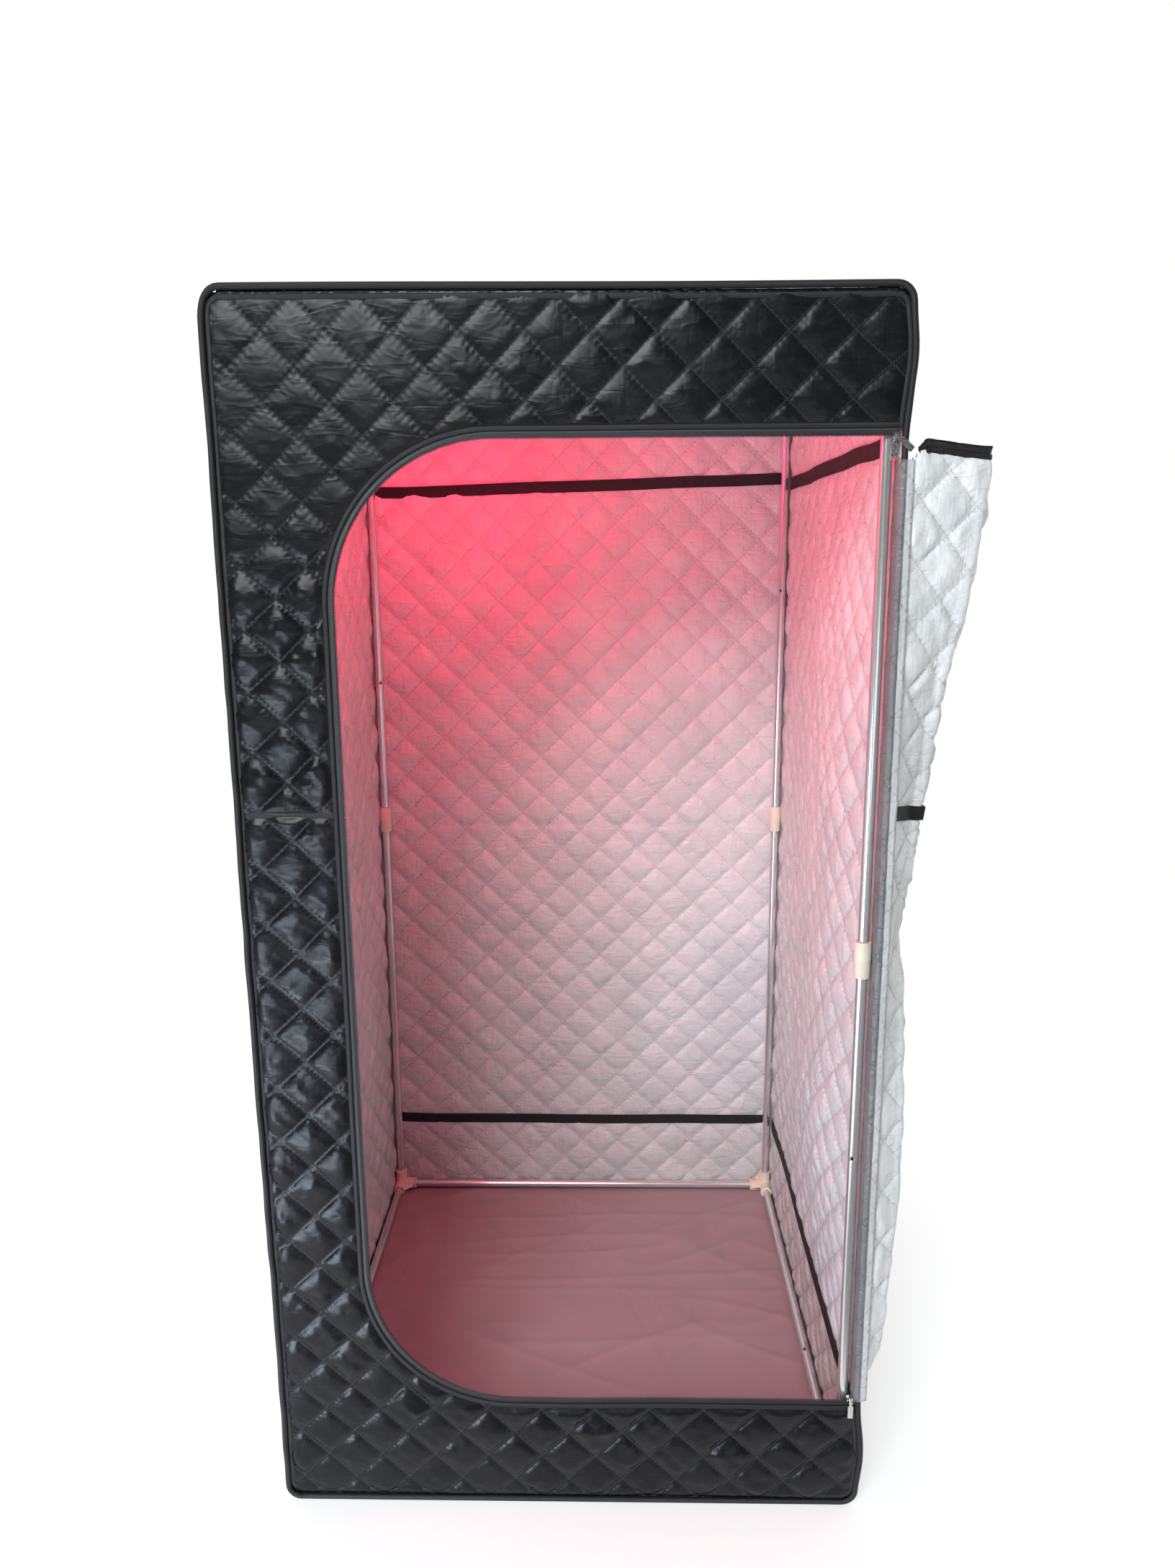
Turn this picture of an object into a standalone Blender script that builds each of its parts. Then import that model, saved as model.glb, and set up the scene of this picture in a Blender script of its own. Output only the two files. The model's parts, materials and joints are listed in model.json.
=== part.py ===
"""Portable steam sauna: a quilted fabric cabin over a plug-together tube frame, with a C-shaped zip door.

Metres, +Z up. The origin is the centre of the underside of the floor, the front faces -Y and +X is to
the right as seen from the front. The door is modelled open, folded back round the right side.
"""

import math

import bmesh
import bpy
from mathutils import Matrix, Vector

# Cabin, over the piping; it is square in plan
WIDTH = 0.900
HEIGHT = 1.800

# Fabric
CLOTH = 0.005
FLOOR_CLOTH = 0.004
PIPING_R = 0.0045
PIPING_SIDES = 8
CORNER_R = 0.020
GAP = 0.0005

# Tube frame
TUBE_R = 0.008
TUBE_WALL = 0.0008
TUBE_SIDES = 12
TUBE_AXIS = 0.4265
FIT = 0.0003
SOCKET_R = 0.012
SOCKET_REACH = 0.034
SOCKET_FLOOR = 0.010
LIP_R = 0.013
LIP_LENGTH = 0.003
WEB_THICKNESS = 0.004
WEB_REACH = 0.030
TUBE_START = SOCKET_FLOOR + 0.001
COUPLER_Z = 0.900
COUPLER_LENGTH = 0.054
COUPLER_STOP = 0.0015

# Door opening: a C-shaped zip line from the top right, round the left side, to the bottom right
ZIP_TOP = 1.613
ZIP_BOTTOM = 0.188
ZIP_LEFT = -0.299
ZIP_CORNER_R = 0.215
CORNER_STEPS = 8
SLIDER_ROOM = 0.0063
TAPE_WIDTH = 0.0155
TAPE_THICKNESS = 0.002
PANEL_SETBACK = SLIDER_ROOM + TAPE_WIDTH + FIT

# Door, hinged on the front right edge, with one fold line that leans outwards at the top
DOOR_OPEN_DEG = 195.0
FOLD_DEG = 68.0
FOLD_TOP = 0.126
FOLD_BOTTOM = 0.040
FOLD_GAP = 0.0018
HINGE_CLEARANCE = 0.005
HINGE_CUT = 0.025
CROSS_TAPE_Z = 1.115
CROSS_TAPE_WIDTH = 0.020

# Black tapes sewn across the lining
LINING_TAPE_WIDTH = 0.022
LINING_TAPE_THICKNESS = 0.0015
UPPER_TAPE_Z = 1.605
LOWER_TAPE_Z = 0.178

# Zip sliders and pulls
SLIDER_X = 0.4345
SLIDER_SIZE = (0.0085, 0.007, 0.0105)
PIN_R = 0.0012
PIN_HEAD_R = 0.0021
PULL_THICKNESS = 0.0014
PULL_WIDTH = 0.0082
PULL_LENGTH = 0.026
EYE_R = 0.0030
EYE_HOLE_R = 0.0016
OUTER_PULL_DEG = -48.0

# Steam port and lamp
PORT_Y = -0.22
PORT_Z = 0.16
PORT_R = 0.032
PORT_LIP = 0.007
PORT_WALL = 0.004
PORT_PLATE = 0.0015
LAMP_XY = (-0.24, 0.10)
LAMP_R = 0.045
LENS_R = 0.038

# Derived places
SEAM = WIDTH / 2 - PIPING_R
WALL_OUT = SEAM - GAP
WALL_IN = WALL_OUT - CLOTH
PANEL_HALF = WALL_IN - GAP
FRONT = -SEAM
PANEL_LOW = 2 * PIPING_R + 2 * GAP
PANEL_HIGH = HEIGHT - PANEL_LOW
ROOF_TOP = HEIGHT - PIPING_R - GAP
ROOF_UNDER = ROOF_TOP - CLOTH
RAIL_Z = FLOOR_CLOTH + LIP_R + GAP
TOP_RAIL_Z = ROOF_UNDER - LIP_R - GAP

# How far each pull hangs from the slider's middle: outside (-1) it clears the piping, inside (1) the tubes
PULL_STAND = {
    -1: -(WALL_OUT + WALL_IN) / 2 - (FRONT - PIPING_R - 2 * FIT - PULL_THICKNESS / 2),
    1: SLIDER_SIZE[1] / 2 + FIT + PULL_THICKNESS / 2,
}

MATERIALS = {
    "black_nylon": ((0.012, 0.013, 0.016), 0.42, 0.0),
    "silver_lining": ((0.72, 0.73, 0.75), 0.36, 0.0),
    "black_tape": ((0.006, 0.006, 0.007), 0.7, 0.0),
    "floor_cloth": ((0.42, 0.36, 0.38), 0.6, 0.0),
    "chrome_tube": ((0.75, 0.76, 0.77), 0.14, 1.0),
    "cream_plastic": ((0.82, 0.78, 0.68), 0.38, 0.0),
    "zip_metal": ((0.68, 0.68, 0.67), 0.25, 1.0),
    "black_plastic": ((0.02, 0.02, 0.02), 0.4, 0.0),
    "lamp_lens": ((0.8, 0.04, 0.06), 0.2, 0.0),
}


def clear_scene():
    for old in list(bpy.data.objects):
        bpy.data.objects.remove(old, do_unlink=True)


def material(name):
    found = bpy.data.materials.get(name)
    if found:
        return found
    colour, roughness, metallic = MATERIALS[name]
    made = bpy.data.materials.new(name)
    made.use_nodes = True
    shader = made.node_tree.nodes["Principled BSDF"]
    shader.inputs["Base Color"].default_value = (*colour, 1)
    shader.inputs["Roughness"].default_value = roughness
    shader.inputs["Metallic"].default_value = metallic
    return made


def mesh_of(name, bm):
    bmesh.ops.recalc_face_normals(bm, faces=bm.faces[:])
    mesh = bpy.data.meshes.new(name)
    bm.to_mesh(mesh)
    bm.free()
    return mesh


def add(name, mesh, finish, matrix=None, parent=None, smooth=False):
    """One named object with its material, placed by its matrix under its parent."""
    if not mesh.materials:
        mesh.materials.append(material(finish))
    if smooth:
        mesh.shade_smooth()
        mesh.set_sharp_from_angle(angle=math.radians(40))
    made = bpy.data.objects.new(name, mesh)
    bpy.context.scene.collection.objects.link(made)
    made.parent = parent
    made.matrix_basis = matrix or Matrix.Identity(4)
    return made


def empty(name, matrix, parent=None):
    made = bpy.data.objects.new(name, None)
    bpy.context.scene.collection.objects.link(made)
    made.parent = parent
    made.matrix_basis = matrix
    return made


def turned(profile, sides):
    """A closed ring solid: the loop of (radius, height) points swept round +Z."""
    bm = bmesh.new()
    rings = []
    for i in range(sides):
        turn = 2 * math.pi * i / sides
        rings.append([bm.verts.new((r * math.cos(turn), r * math.sin(turn), h)) for r, h in profile])
    for i in range(sides):
        here, there = rings[i], rings[(i + 1) % sides]
        for j in range(len(profile)):
            k = (j + 1) % len(profile)
            bm.faces.new((here[j], there[j], there[k], here[k]))
    return bm


def lathe_solid(profile, sides):
    """A solid of revolution whose profile starts and ends on the axis, from the bottom up."""
    bm = bmesh.new()
    rings = []
    for r, h in profile:
        if r == 0:
            rings.append([bm.verts.new((0, 0, h))])
            continue
        turns = (2 * math.pi * i / sides for i in range(sides))
        rings.append([bm.verts.new((r * math.cos(t), r * math.sin(t), h)) for t in turns])
    for low, high in zip(rings, rings[1:]):
        for i in range(sides):
            k = (i + 1) % sides
            face = [low[i % len(low)], low[k % len(low)], high[k % len(high)], high[i % len(high)]]
            bm.faces.new(list(dict.fromkeys(face)))
    return bm


def plate(outline, low, high):
    """A prism: the (x, z) outline, extruded from y = low to y = high."""
    bm = bmesh.new()
    face = bm.faces.new([bm.verts.new((x, low, z)) for x, z in outline])
    grown = bmesh.ops.extrude_face_region(bm, geom=[face])
    moved = [g for g in grown["geom"] if isinstance(g, bmesh.types.BMVert)]
    bmesh.ops.translate(bm, verts=moved, vec=(0, high - low, 0))
    return bm


def block(low, high):
    bm = bmesh.new()
    bmesh.ops.create_cube(bm, size=1)
    size = Vector(high) - Vector(low)
    centre = (Vector(high) + Vector(low)) / 2
    bmesh.ops.scale(bm, verts=bm.verts, vec=size)
    bmesh.ops.translate(bm, verts=bm.verts, vec=centre)
    return bm


def swept_loop(points, normals, radius, sides, closed):
    """A cord of round section along points; normals give the section's outward direction at each."""
    bm = bmesh.new()
    across = Vector((0, 1, 0))
    rings = []
    for point, out in zip(points, normals):
        ring = []
        for i in range(sides):
            turn = 2 * math.pi * (i + 0.5) / sides
            ring.append(bm.verts.new(point + radius * (math.cos(turn) * out + math.sin(turn) * across)))
        rings.append(ring)
    count = len(rings) if closed else len(rings) - 1
    for i in range(count):
        here, there = rings[i], rings[(i + 1) % len(rings)]
        for j in range(sides):
            k = (j + 1) % sides
            bm.faces.new((here[j], there[j], there[k], here[k]))
    if not closed:
        bm.faces.new(rings[0])
        bm.faces.new(reversed(rings[-1]))
    return bm


def boolean(bm, other, operation):
    """Joins or cuts two meshes and returns the result as a new bmesh."""
    base = add("work", mesh_of("work", bm), "black_plastic")
    tool = add("tool", mesh_of("tool", other), "black_plastic")
    modifier = base.modifiers.new("work", "BOOLEAN")
    modifier.operation = operation
    modifier.solver = "EXACT"
    modifier.object = tool
    graph = bpy.context.evaluated_depsgraph_get()
    result = bmesh.new()
    result.from_mesh(base.evaluated_get(graph).to_mesh())
    bmesh.ops.dissolve_degenerate(result, dist=1e-6, edges=result.edges[:])
    bpy.data.objects.remove(base, do_unlink=True)
    bpy.data.objects.remove(tool, do_unlink=True)
    return result


def arc(centre, radius, start_deg, end_deg, steps):
    for i in range(steps + 1):
        turn = math.radians(start_deg + (end_deg - start_deg) * i / steps)
        yield (centre[0] + radius * math.cos(turn), centre[1] + radius * math.sin(turn))


# ---------------------------------------------------------------- frame


def tube_profile(length):
    inner = TUBE_R - TUBE_WALL
    return [(TUBE_R, 0), (TUBE_R, length), (inner, length), (inner, 0)]


def along(axis):
    """Turns +Z onto the named axis, keeping the polygon's flats square to the other tubes."""
    return {
        "z": Matrix.Identity(4),
        "x": Matrix.Rotation(math.radians(90), 4, "Y"),
        "y": Matrix.Rotation(math.radians(-90), 4, "X"),
    }[axis]


def build_uprights():
    stop = COUPLER_STOP + GAP
    low_length = COUPLER_Z - stop - RAIL_Z - TUBE_START
    high_length = TOP_RAIL_Z - TUBE_START - COUPLER_Z - stop
    low = mesh_of("upright_lower", turned(tube_profile(low_length), TUBE_SIDES))
    high = mesh_of("upright_upper", turned(tube_profile(high_length), TUBE_SIDES))
    for place, (x, y) in corners().items():
        at = Matrix.Translation((x, y, RAIL_Z + TUBE_START))
        add(f"upright_lower_{place}", low, "chrome_tube", at, smooth=True)
        at = Matrix.Translation((x, y, COUPLER_Z + stop))
        add(f"upright_upper_{place}", high, "chrome_tube", at, smooth=True)


def corners():
    return {
        "front_left": (-TUBE_AXIS, -TUBE_AXIS),
        "front_right": (TUBE_AXIS, -TUBE_AXIS),
        "back_left": (-TUBE_AXIS, TUBE_AXIS),
        "back_right": (TUBE_AXIS, TUBE_AXIS),
    }


def build_couplers():
    half = COUPLER_LENGTH / 2
    bore = TUBE_R + FIT
    stop_r = TUBE_R - TUBE_WALL - FIT
    chamfer = 0.001
    profile = [
        (SOCKET_R - chamfer, -half),
        (SOCKET_R, chamfer - half),
        (SOCKET_R, half - chamfer),
        (SOCKET_R - chamfer, half),
        (bore, half),
        (bore, COUPLER_STOP),
        (stop_r, COUPLER_STOP),
        (stop_r, -COUPLER_STOP),
        (bore, -COUPLER_STOP),
        (bore, -half),
    ]
    mesh = mesh_of("upright_coupler", turned(profile, TUBE_SIDES))
    for place, (x, y) in corners().items():
        at = Matrix.Translation((x, y, COUPLER_Z))
        add(f"upright_coupler_{place}", mesh, "cream_plastic", at, smooth=True)


def build_rails():
    length = 2 * (TUBE_AXIS - TUBE_START)
    mesh = mesh_of("rail", turned(tube_profile(length), TUBE_SIDES))
    start = -length / 2
    for level, z in (("base", RAIL_Z), ("top", TOP_RAIL_Z)):
        for place, y in (("front", -TUBE_AXIS), ("back", TUBE_AXIS)):
            at = Matrix.Translation((start, y, z)) @ along("x")
            add(f"{level}_rail_{place}", mesh, "chrome_tube", at, smooth=True)
        for place, x in (("left", -TUBE_AXIS), ("right", TUBE_AXIS)):
            at = Matrix.Translation((x, start, z)) @ along("y")
            add(f"{level}_rail_{place}", mesh, "chrome_tube", at, smooth=True)


def connector_mesh():
    """Three sockets along +X, +Y and +Z from a round core, with a web between the X and Y sockets."""
    socket = [
        (0, 0),
        (SOCKET_R, 0),
        (SOCKET_R, SOCKET_REACH - LIP_LENGTH),
        (LIP_R, SOCKET_REACH - LIP_LENGTH),
        (LIP_R, SOCKET_REACH),
        (0, SOCKET_REACH),
    ]
    whole = bmesh.new()
    bmesh.ops.create_uvsphere(whole, u_segments=TUBE_SIDES, v_segments=6, radius=SOCKET_R)
    for axis in "xyz":
        arm = lathe_solid(socket, TUBE_SIDES)
        bmesh.ops.transform(arm, matrix=along(axis), verts=arm.verts)
        whole = boolean(whole, arm, "UNION")
    web = bmesh.new()
    low, high = -WEB_THICKNESS / 2, WEB_THICKNESS / 2
    toe = SOCKET_R - 0.001
    flat = [(0, 0), (WEB_REACH, 0), (WEB_REACH, toe), (toe, WEB_REACH), (0, WEB_REACH)]
    face = web.faces.new([web.verts.new((x, y, low)) for x, y in flat])
    grown = bmesh.ops.extrude_face_region(web, geom=[face])
    moved = [g for g in grown["geom"] if isinstance(g, bmesh.types.BMVert)]
    bmesh.ops.translate(web, verts=moved, vec=(0, 0, high - low))
    whole = boolean(whole, web, "UNION")
    bore_end = SOCKET_REACH + 0.01
    bore = [(0, SOCKET_FLOOR), (TUBE_R + FIT, SOCKET_FLOOR), (TUBE_R + FIT, bore_end), (0, bore_end)]
    for axis in "xyz":
        cutter = lathe_solid(bore, TUBE_SIDES)
        bmesh.ops.transform(cutter, matrix=along(axis), verts=cutter.verts)
        whole = boolean(whole, cutter, "DIFFERENCE")
    return mesh_of("corner_connector", whole)


def build_connectors():
    """Eight copies of one part. Each copy's web lies between the first two sockets named for it."""
    mesh = connector_mesh()
    for place, (x, y) in corners().items():
        for level, z, up in (("base", RAIL_Z, 1), ("top", TOP_RAIL_Z, -1)):
            inward = {"x": (-math.copysign(1, x), 0, 0), "y": (0, -math.copysign(1, y), 0), "z": (0, 0, up)}
            order = "xyz" if place in ("back_left", "front_right") else "xzy"
            turn = Matrix([inward[axis] for axis in order]).transposed().to_4x4()
            at = Matrix.Translation((x, y, z)) @ turn
            add(f"{level}_connector_{place}", mesh, "cream_plastic", at, smooth=True)


# ---------------------------------------------------------------- cover


def rounded_outline():
    """(x, z) outline of the front or back inside its piping, clockwise from the bottom right corner."""
    r = CORNER_R - PIPING_R - GAP
    right, left = PANEL_HALF - r, r - PANEL_HALF
    low, high = PANEL_LOW + r, PANEL_HIGH - r
    for centre, start in (((right, low), 0), ((left, low), -90), ((left, high), -180), ((right, high), -270)):
        yield from arc(centre, r, start, start - 90, 3)


def build_walls():
    side = {"low": PANEL_LOW, "high": PANEL_HIGH}
    panels = {
        "right_wall": ((WALL_IN, -PANEL_HALF, side["low"]), (WALL_OUT, PANEL_HALF, side["high"])),
        "roof_panel": ((-PANEL_HALF, -PANEL_HALF, ROOF_UNDER), (PANEL_HALF, PANEL_HALF, ROOF_TOP)),
    }
    for name, (low, high) in panels.items():
        add(name, mesh_of(name, block(low, high)), "black_nylon")
    back = plate(list(rounded_outline()), WALL_IN, WALL_OUT)
    add("back_wall", mesh_of("back_wall", back), "black_nylon")
    floor = block((-PANEL_HALF, -PANEL_HALF, 0), (PANEL_HALF, PANEL_HALF, FLOOR_CLOTH))
    add("floor_panel", mesh_of("floor_panel", floor), "floor_cloth")
    wall = block((-WALL_OUT, -PANEL_HALF, side["low"]), (-WALL_IN, PANEL_HALF, side["high"]))
    hole_r = PORT_R + FIT
    hole = lathe_solid([(0, -0.02), (hole_r, -0.02), (hole_r, 0.02), (0, 0.02)], 16)
    bmesh.ops.transform(hole, matrix=port_matrix(), verts=hole.verts)
    add("left_wall", mesh_of("left_wall", boolean(wall, hole, "DIFFERENCE")), "black_nylon")


def zip_line(offset):
    """(x, z) points of the zip line, moved outwards by offset, from the top right to the bottom right."""
    radius = ZIP_CORNER_R + offset
    centre_x = ZIP_LEFT + ZIP_CORNER_R
    yield (PANEL_HALF, ZIP_TOP + offset)
    yield from arc((centre_x, ZIP_TOP - ZIP_CORNER_R), radius, 90, 180, CORNER_STEPS)
    yield from arc((centre_x, ZIP_BOTTOM + ZIP_CORNER_R), radius, 180, 270, CORNER_STEPS)
    yield (PANEL_HALF, ZIP_BOTTOM - offset)


def build_front():
    """The C-shaped front panel and the zip tape along its opening."""
    outline = list(zip_line(PANEL_SETBACK)) + list(rounded_outline())
    add("front_panel", mesh_of("front_panel", plate(outline, -WALL_OUT, -WALL_IN)), "black_nylon")
    outer = list(zip_line(SLIDER_ROOM + TAPE_WIDTH))
    inner = list(zip_line(SLIDER_ROOM))
    middle = -(WALL_OUT + WALL_IN) / 2
    band = plate(outer + inner[::-1], middle - TAPE_THICKNESS / 2, middle + TAPE_THICKNESS / 2)
    add("front_zip_tape", mesh_of("front_zip_tape", band), "black_tape")


def build_piping():
    """Two rounded loops round the front and back, and four straight cords between them."""
    half, low, high = SEAM, PIPING_R, HEIGHT - PIPING_R
    r = CORNER_R
    for place, y in (("front", FRONT), ("back", -FRONT)):
        points, normals = [], []
        for cx, cz, start in (
            (half - r, high - r, 0),
            (r - half, high - r, 90),
            (r - half, low + r, 180),
            (half - r, low + r, 270),
        ):
            for i in range(5):
                turn = math.radians(start + 90 * i / 4)
                out = Vector((math.cos(turn), 0, math.sin(turn)))
                points.append(Vector((cx, y, cz)) + r * out)
                normals.append(out)
        cord = swept_loop(points, normals, PIPING_R, PIPING_SIDES, closed=True)
        add(f"piping_{place}", mesh_of(f"piping_{place}", cord), "black_tape", smooth=True)
    reach = SEAM - PIPING_R - GAP
    turns = [2 * math.pi * (i + 0.5) / PIPING_SIDES for i in range(PIPING_SIDES)]
    section = [(PIPING_R * math.cos(t), PIPING_R * math.sin(t)) for t in turns]
    mesh = mesh_of("piping_side", plate(section, -reach, reach))
    for level, z in (("roof", high), ("floor", low)):
        for place, x in (("left", -half), ("right", half)):
            at = Matrix.Translation((x, 0, z))
            add(f"piping_{level}_{place}", mesh, "black_tape", at, smooth=True)


def build_lining_tapes():
    reach = PANEL_HALF - 0.012
    face = WALL_IN - FIT
    inner = face - LINING_TAPE_THICKNESS
    for level, z in (("upper", UPPER_TAPE_Z), ("lower", LOWER_TAPE_Z)):
        low, high = z - LINING_TAPE_WIDTH / 2, z + LINING_TAPE_WIDTH / 2
        back = block((-reach, inner, low), (reach, face, high))
        right = block((inner, -reach, low), (face, reach, high))
        add(f"lining_tape_back_{level}", mesh_of("tape", back), "black_tape")
        add(f"lining_tape_right_{level}", mesh_of("tape", right), "black_tape")


# ---------------------------------------------------------------- door


def fold_x(z):
    """The x of the fold line at height z, with the door closed."""
    share = (z - ZIP_BOTTOM) / (ZIP_TOP - ZIP_BOTTOM)
    return SEAM - (FOLD_BOTTOM + (FOLD_TOP - FOLD_BOTTOM) * share)


def free_edge(inset):
    """The door's outline beyond the fold line, inset from the zip line, from the top to the bottom."""
    high, low = ZIP_TOP - inset, ZIP_BOTTOM + inset
    yield (fold_x(high) - FOLD_GAP, high)
    yield from list(zip_line(-inset))[1:-1]
    yield (fold_x(low) - FOLD_GAP, low)


def build_door():
    """A strip beside the hinge and the main panel beyond the fold, drawn closed and then opened."""
    hinge = Vector((SEAM, FRONT, 0))
    middle = -(WALL_OUT + WALL_IN) / 2
    low_fold = Vector((fold_x(ZIP_BOTTOM), middle, ZIP_BOTTOM))
    high_fold = Vector((fold_x(ZIP_TOP), middle, ZIP_TOP))
    fold_axis = (high_fold - low_fold).normalized()

    opened = Matrix.Translation(hinge) @ Matrix.Rotation(math.radians(DOOR_OPEN_DEG), 4, "Z")
    hinge_axis = empty("door_hinge_axis", opened)
    folded = Matrix.Translation(low_fold - hinge) @ Matrix.Rotation(math.radians(FOLD_DEG), 4, fold_axis)
    fold_line = empty("door_fold_axis", folded, hinge_axis)

    inset = SLIDER_ROOM
    near = SEAM - HINGE_CLEARANCE
    high, low = ZIP_TOP - inset, ZIP_BOTTOM + inset
    strip = [
        (fold_x(high) + FOLD_GAP, high),
        (fold_x(low) + FOLD_GAP, low),
        (near, low),
        (near, high - HINGE_CUT),
        (near - HINGE_CUT, high),
    ]
    bm = plate(strip, -WALL_OUT, -WALL_IN)
    bmesh.ops.translate(bm, verts=bm.verts, vec=-hinge)
    add("door_strip", mesh_of("door_strip", bm), "silver_lining", parent=hinge_axis)

    main = plate(list(free_edge(inset + TAPE_WIDTH + FIT)), -WALL_OUT, -WALL_IN)
    bmesh.ops.translate(main, verts=main.verts, vec=-low_fold)
    add("door_panel", mesh_of("door_panel", main), "silver_lining", parent=fold_line)

    outer, inner = list(free_edge(inset)), list(free_edge(inset + TAPE_WIDTH))
    tape = plate(outer + inner[::-1], middle - TAPE_THICKNESS / 2, middle + TAPE_THICKNESS / 2)
    bmesh.ops.translate(tape, verts=tape.verts, vec=-low_fold)
    add("door_zip_tape", mesh_of("door_zip_tape", tape), "black_tape", parent=fold_line)

    half = CROSS_TAPE_WIDTH / 2
    left = ZIP_LEFT + PANEL_SETBACK + inset
    face = -WALL_IN + FIT
    right = fold_x(CROSS_TAPE_Z) - 4 * FOLD_GAP
    low, high = CROSS_TAPE_Z - half, CROSS_TAPE_Z + half
    cross = block((left, face, low), (right, face + LINING_TAPE_THICKNESS, high))
    bmesh.ops.translate(cross, verts=cross.verts, vec=-low_fold)
    add("door_cross_tape", mesh_of("door_cross_tape", cross), "black_tape", parent=fold_line)


# ---------------------------------------------------------------- zip sliders and pulls


def pull_outline():
    """(x, z) outline of a pull that hangs from its eye at the origin, and the eye's hole."""
    half = PULL_WIDTH / 2
    neck = 0.0022
    shoulder = -0.0062
    outline = list(arc((0, 0), EYE_R, -45, 225, 9))
    outline += [(-neck, shoulder + 0.002), (-half, shoulder), (-half, -PULL_LENGTH + 0.001)]
    outline += [(0.001 - half, -PULL_LENGTH), (half - 0.001, -PULL_LENGTH)]
    outline += [(half, -PULL_LENGTH + 0.001), (half, shoulder), (neck, shoulder + 0.002)]
    return outline


def pull_mesh():
    tab = plate(pull_outline(), -PULL_THICKNESS / 2, PULL_THICKNESS / 2)
    hole = lathe_solid([(0, -0.01), (EYE_HOLE_R, -0.01), (EYE_HOLE_R, 0.01), (0, 0.01)], 12)
    bmesh.ops.transform(hole, matrix=along("y"), verts=hole.verts)
    return mesh_of("pull", boolean(tab, hole, "DIFFERENCE"))


def slider_mesh(name, sides):
    """A slider body with a headed pin on each side that carries a pull: -1 outside, 1 inside."""
    head = 0.0006
    overlap = 0.001
    x, y, z = (s / 2 for s in SLIDER_SIZE)
    nose = 0.35
    top = [(-x, -z * nose), (-x * nose, -z), (x, -z * 0.8), (x, z * 0.8), (-x * nose, z), (-x, z * nose)]
    body = plate(top, -y, y)
    for side in sides:
        pin_length = PULL_STAND[side] + PULL_THICKNESS / 2 + FIT - y
        profile = [
            (0, -overlap),
            (PIN_R, -overlap),
            (PIN_R, pin_length),
            (PIN_HEAD_R, pin_length),
            (PIN_HEAD_R, pin_length + head),
            (0, pin_length + head),
        ]
        pin = lathe_solid(profile, 12)
        face = Matrix.Translation((0, side * y, 0)) @ Matrix.Rotation(math.radians(-90 * side), 4, "X")
        bmesh.ops.transform(pin, matrix=face, verts=pin.verts)
        body = boolean(body, pin, "UNION")
    return mesh_of(name, body)


def build_zip():
    pull = pull_mesh()
    middle = -(WALL_OUT + WALL_IN) / 2
    for level, z, sides in (("top", ZIP_TOP, (-1, 1)), ("bottom", ZIP_BOTTOM, (-1,))):
        at = Matrix.Translation((SLIDER_X, middle, z))
        add(f"zip_slider_{level}", slider_mesh(f"slider_{level}", sides), "zip_metal", at)
        for side in sides:
            place = "outer" if side < 0 else "inner"
            lean = OUTER_PULL_DEG if (level, place) == ("top", "outer") else 0
            hang = Matrix.Translation((SLIDER_X, middle + side * PULL_STAND[side], z))
            hang = hang @ Matrix.Rotation(math.radians(lean), 4, "Y")
            add(f"zip_pull_{level}_{place}", pull, "zip_metal", hang)


# ---------------------------------------------------------------- steam port and lamp


def port_matrix():
    middle = -(WALL_OUT + WALL_IN) / 2
    return Matrix.Translation((middle, PORT_Y, PORT_Z)) @ Matrix.Rotation(math.radians(90), 4, "Y")


def build_port():
    """A grommet that lines the hose hole in the left wall."""
    face = CLOTH / 2 + FIT
    rim = face + PORT_PLATE
    inner = PORT_R - PORT_WALL
    profile = [
        (inner, -rim),
        (PORT_R + PORT_LIP, -rim),
        (PORT_R + PORT_LIP, -face),
        (PORT_R, -face),
        (PORT_R, face),
        (PORT_R + PORT_LIP, face),
        (PORT_R + PORT_LIP, rim),
        (inner, rim),
    ]
    mesh = mesh_of("steam_port_grommet", turned(profile, 16))
    add("steam_port_grommet", mesh, "black_plastic", port_matrix(), smooth=True)


def build_lamp():
    """A round lamp fixed under the roof: a shallow housing and its lens."""
    at = Matrix.Translation((*LAMP_XY, ROOF_UNDER - FIT))
    seat, face = -0.020, -0.026
    housing = [(0, seat), (LENS_R, seat), (LENS_R, face), (LAMP_R, face), (LAMP_R, -0.006), (0.036, 0)]
    housing.append((0, 0))
    mesh = mesh_of("red_lamp_housing", lathe_solid(housing, 16))
    add("red_lamp_housing", mesh, "black_plastic", at, smooth=True)
    rim = LENS_R - FIT
    lens = [(0, -0.028), (0.028, -0.0275), (rim, -0.0255), (rim, seat - FIT), (0, seat - FIT)]
    mesh = mesh_of("red_lamp_lens", lathe_solid(lens, 16))
    add("red_lamp_lens", mesh, "lamp_lens", at, smooth=True)


def main():
    clear_scene()
    build_uprights()
    build_couplers()
    build_rails()
    build_connectors()
    build_walls()
    build_front()
    build_piping()
    build_lining_tapes()
    build_door()
    build_zip()
    build_port()
    build_lamp()
    bpy.context.view_layer.update()


main()
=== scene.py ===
"""Portable steam sauna: the finished look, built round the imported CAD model.

Metres, +Z up, front towards -Y, as in the CAD. Each wall is one closed two-layer quilted sheet, black nylon
outside and silver satin inside. The door is drawn closed and then opened and folded about its own two joints.
"""

import json
import math

import bmesh
import bpy
import numpy as np
from mathutils import Matrix, Vector


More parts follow.
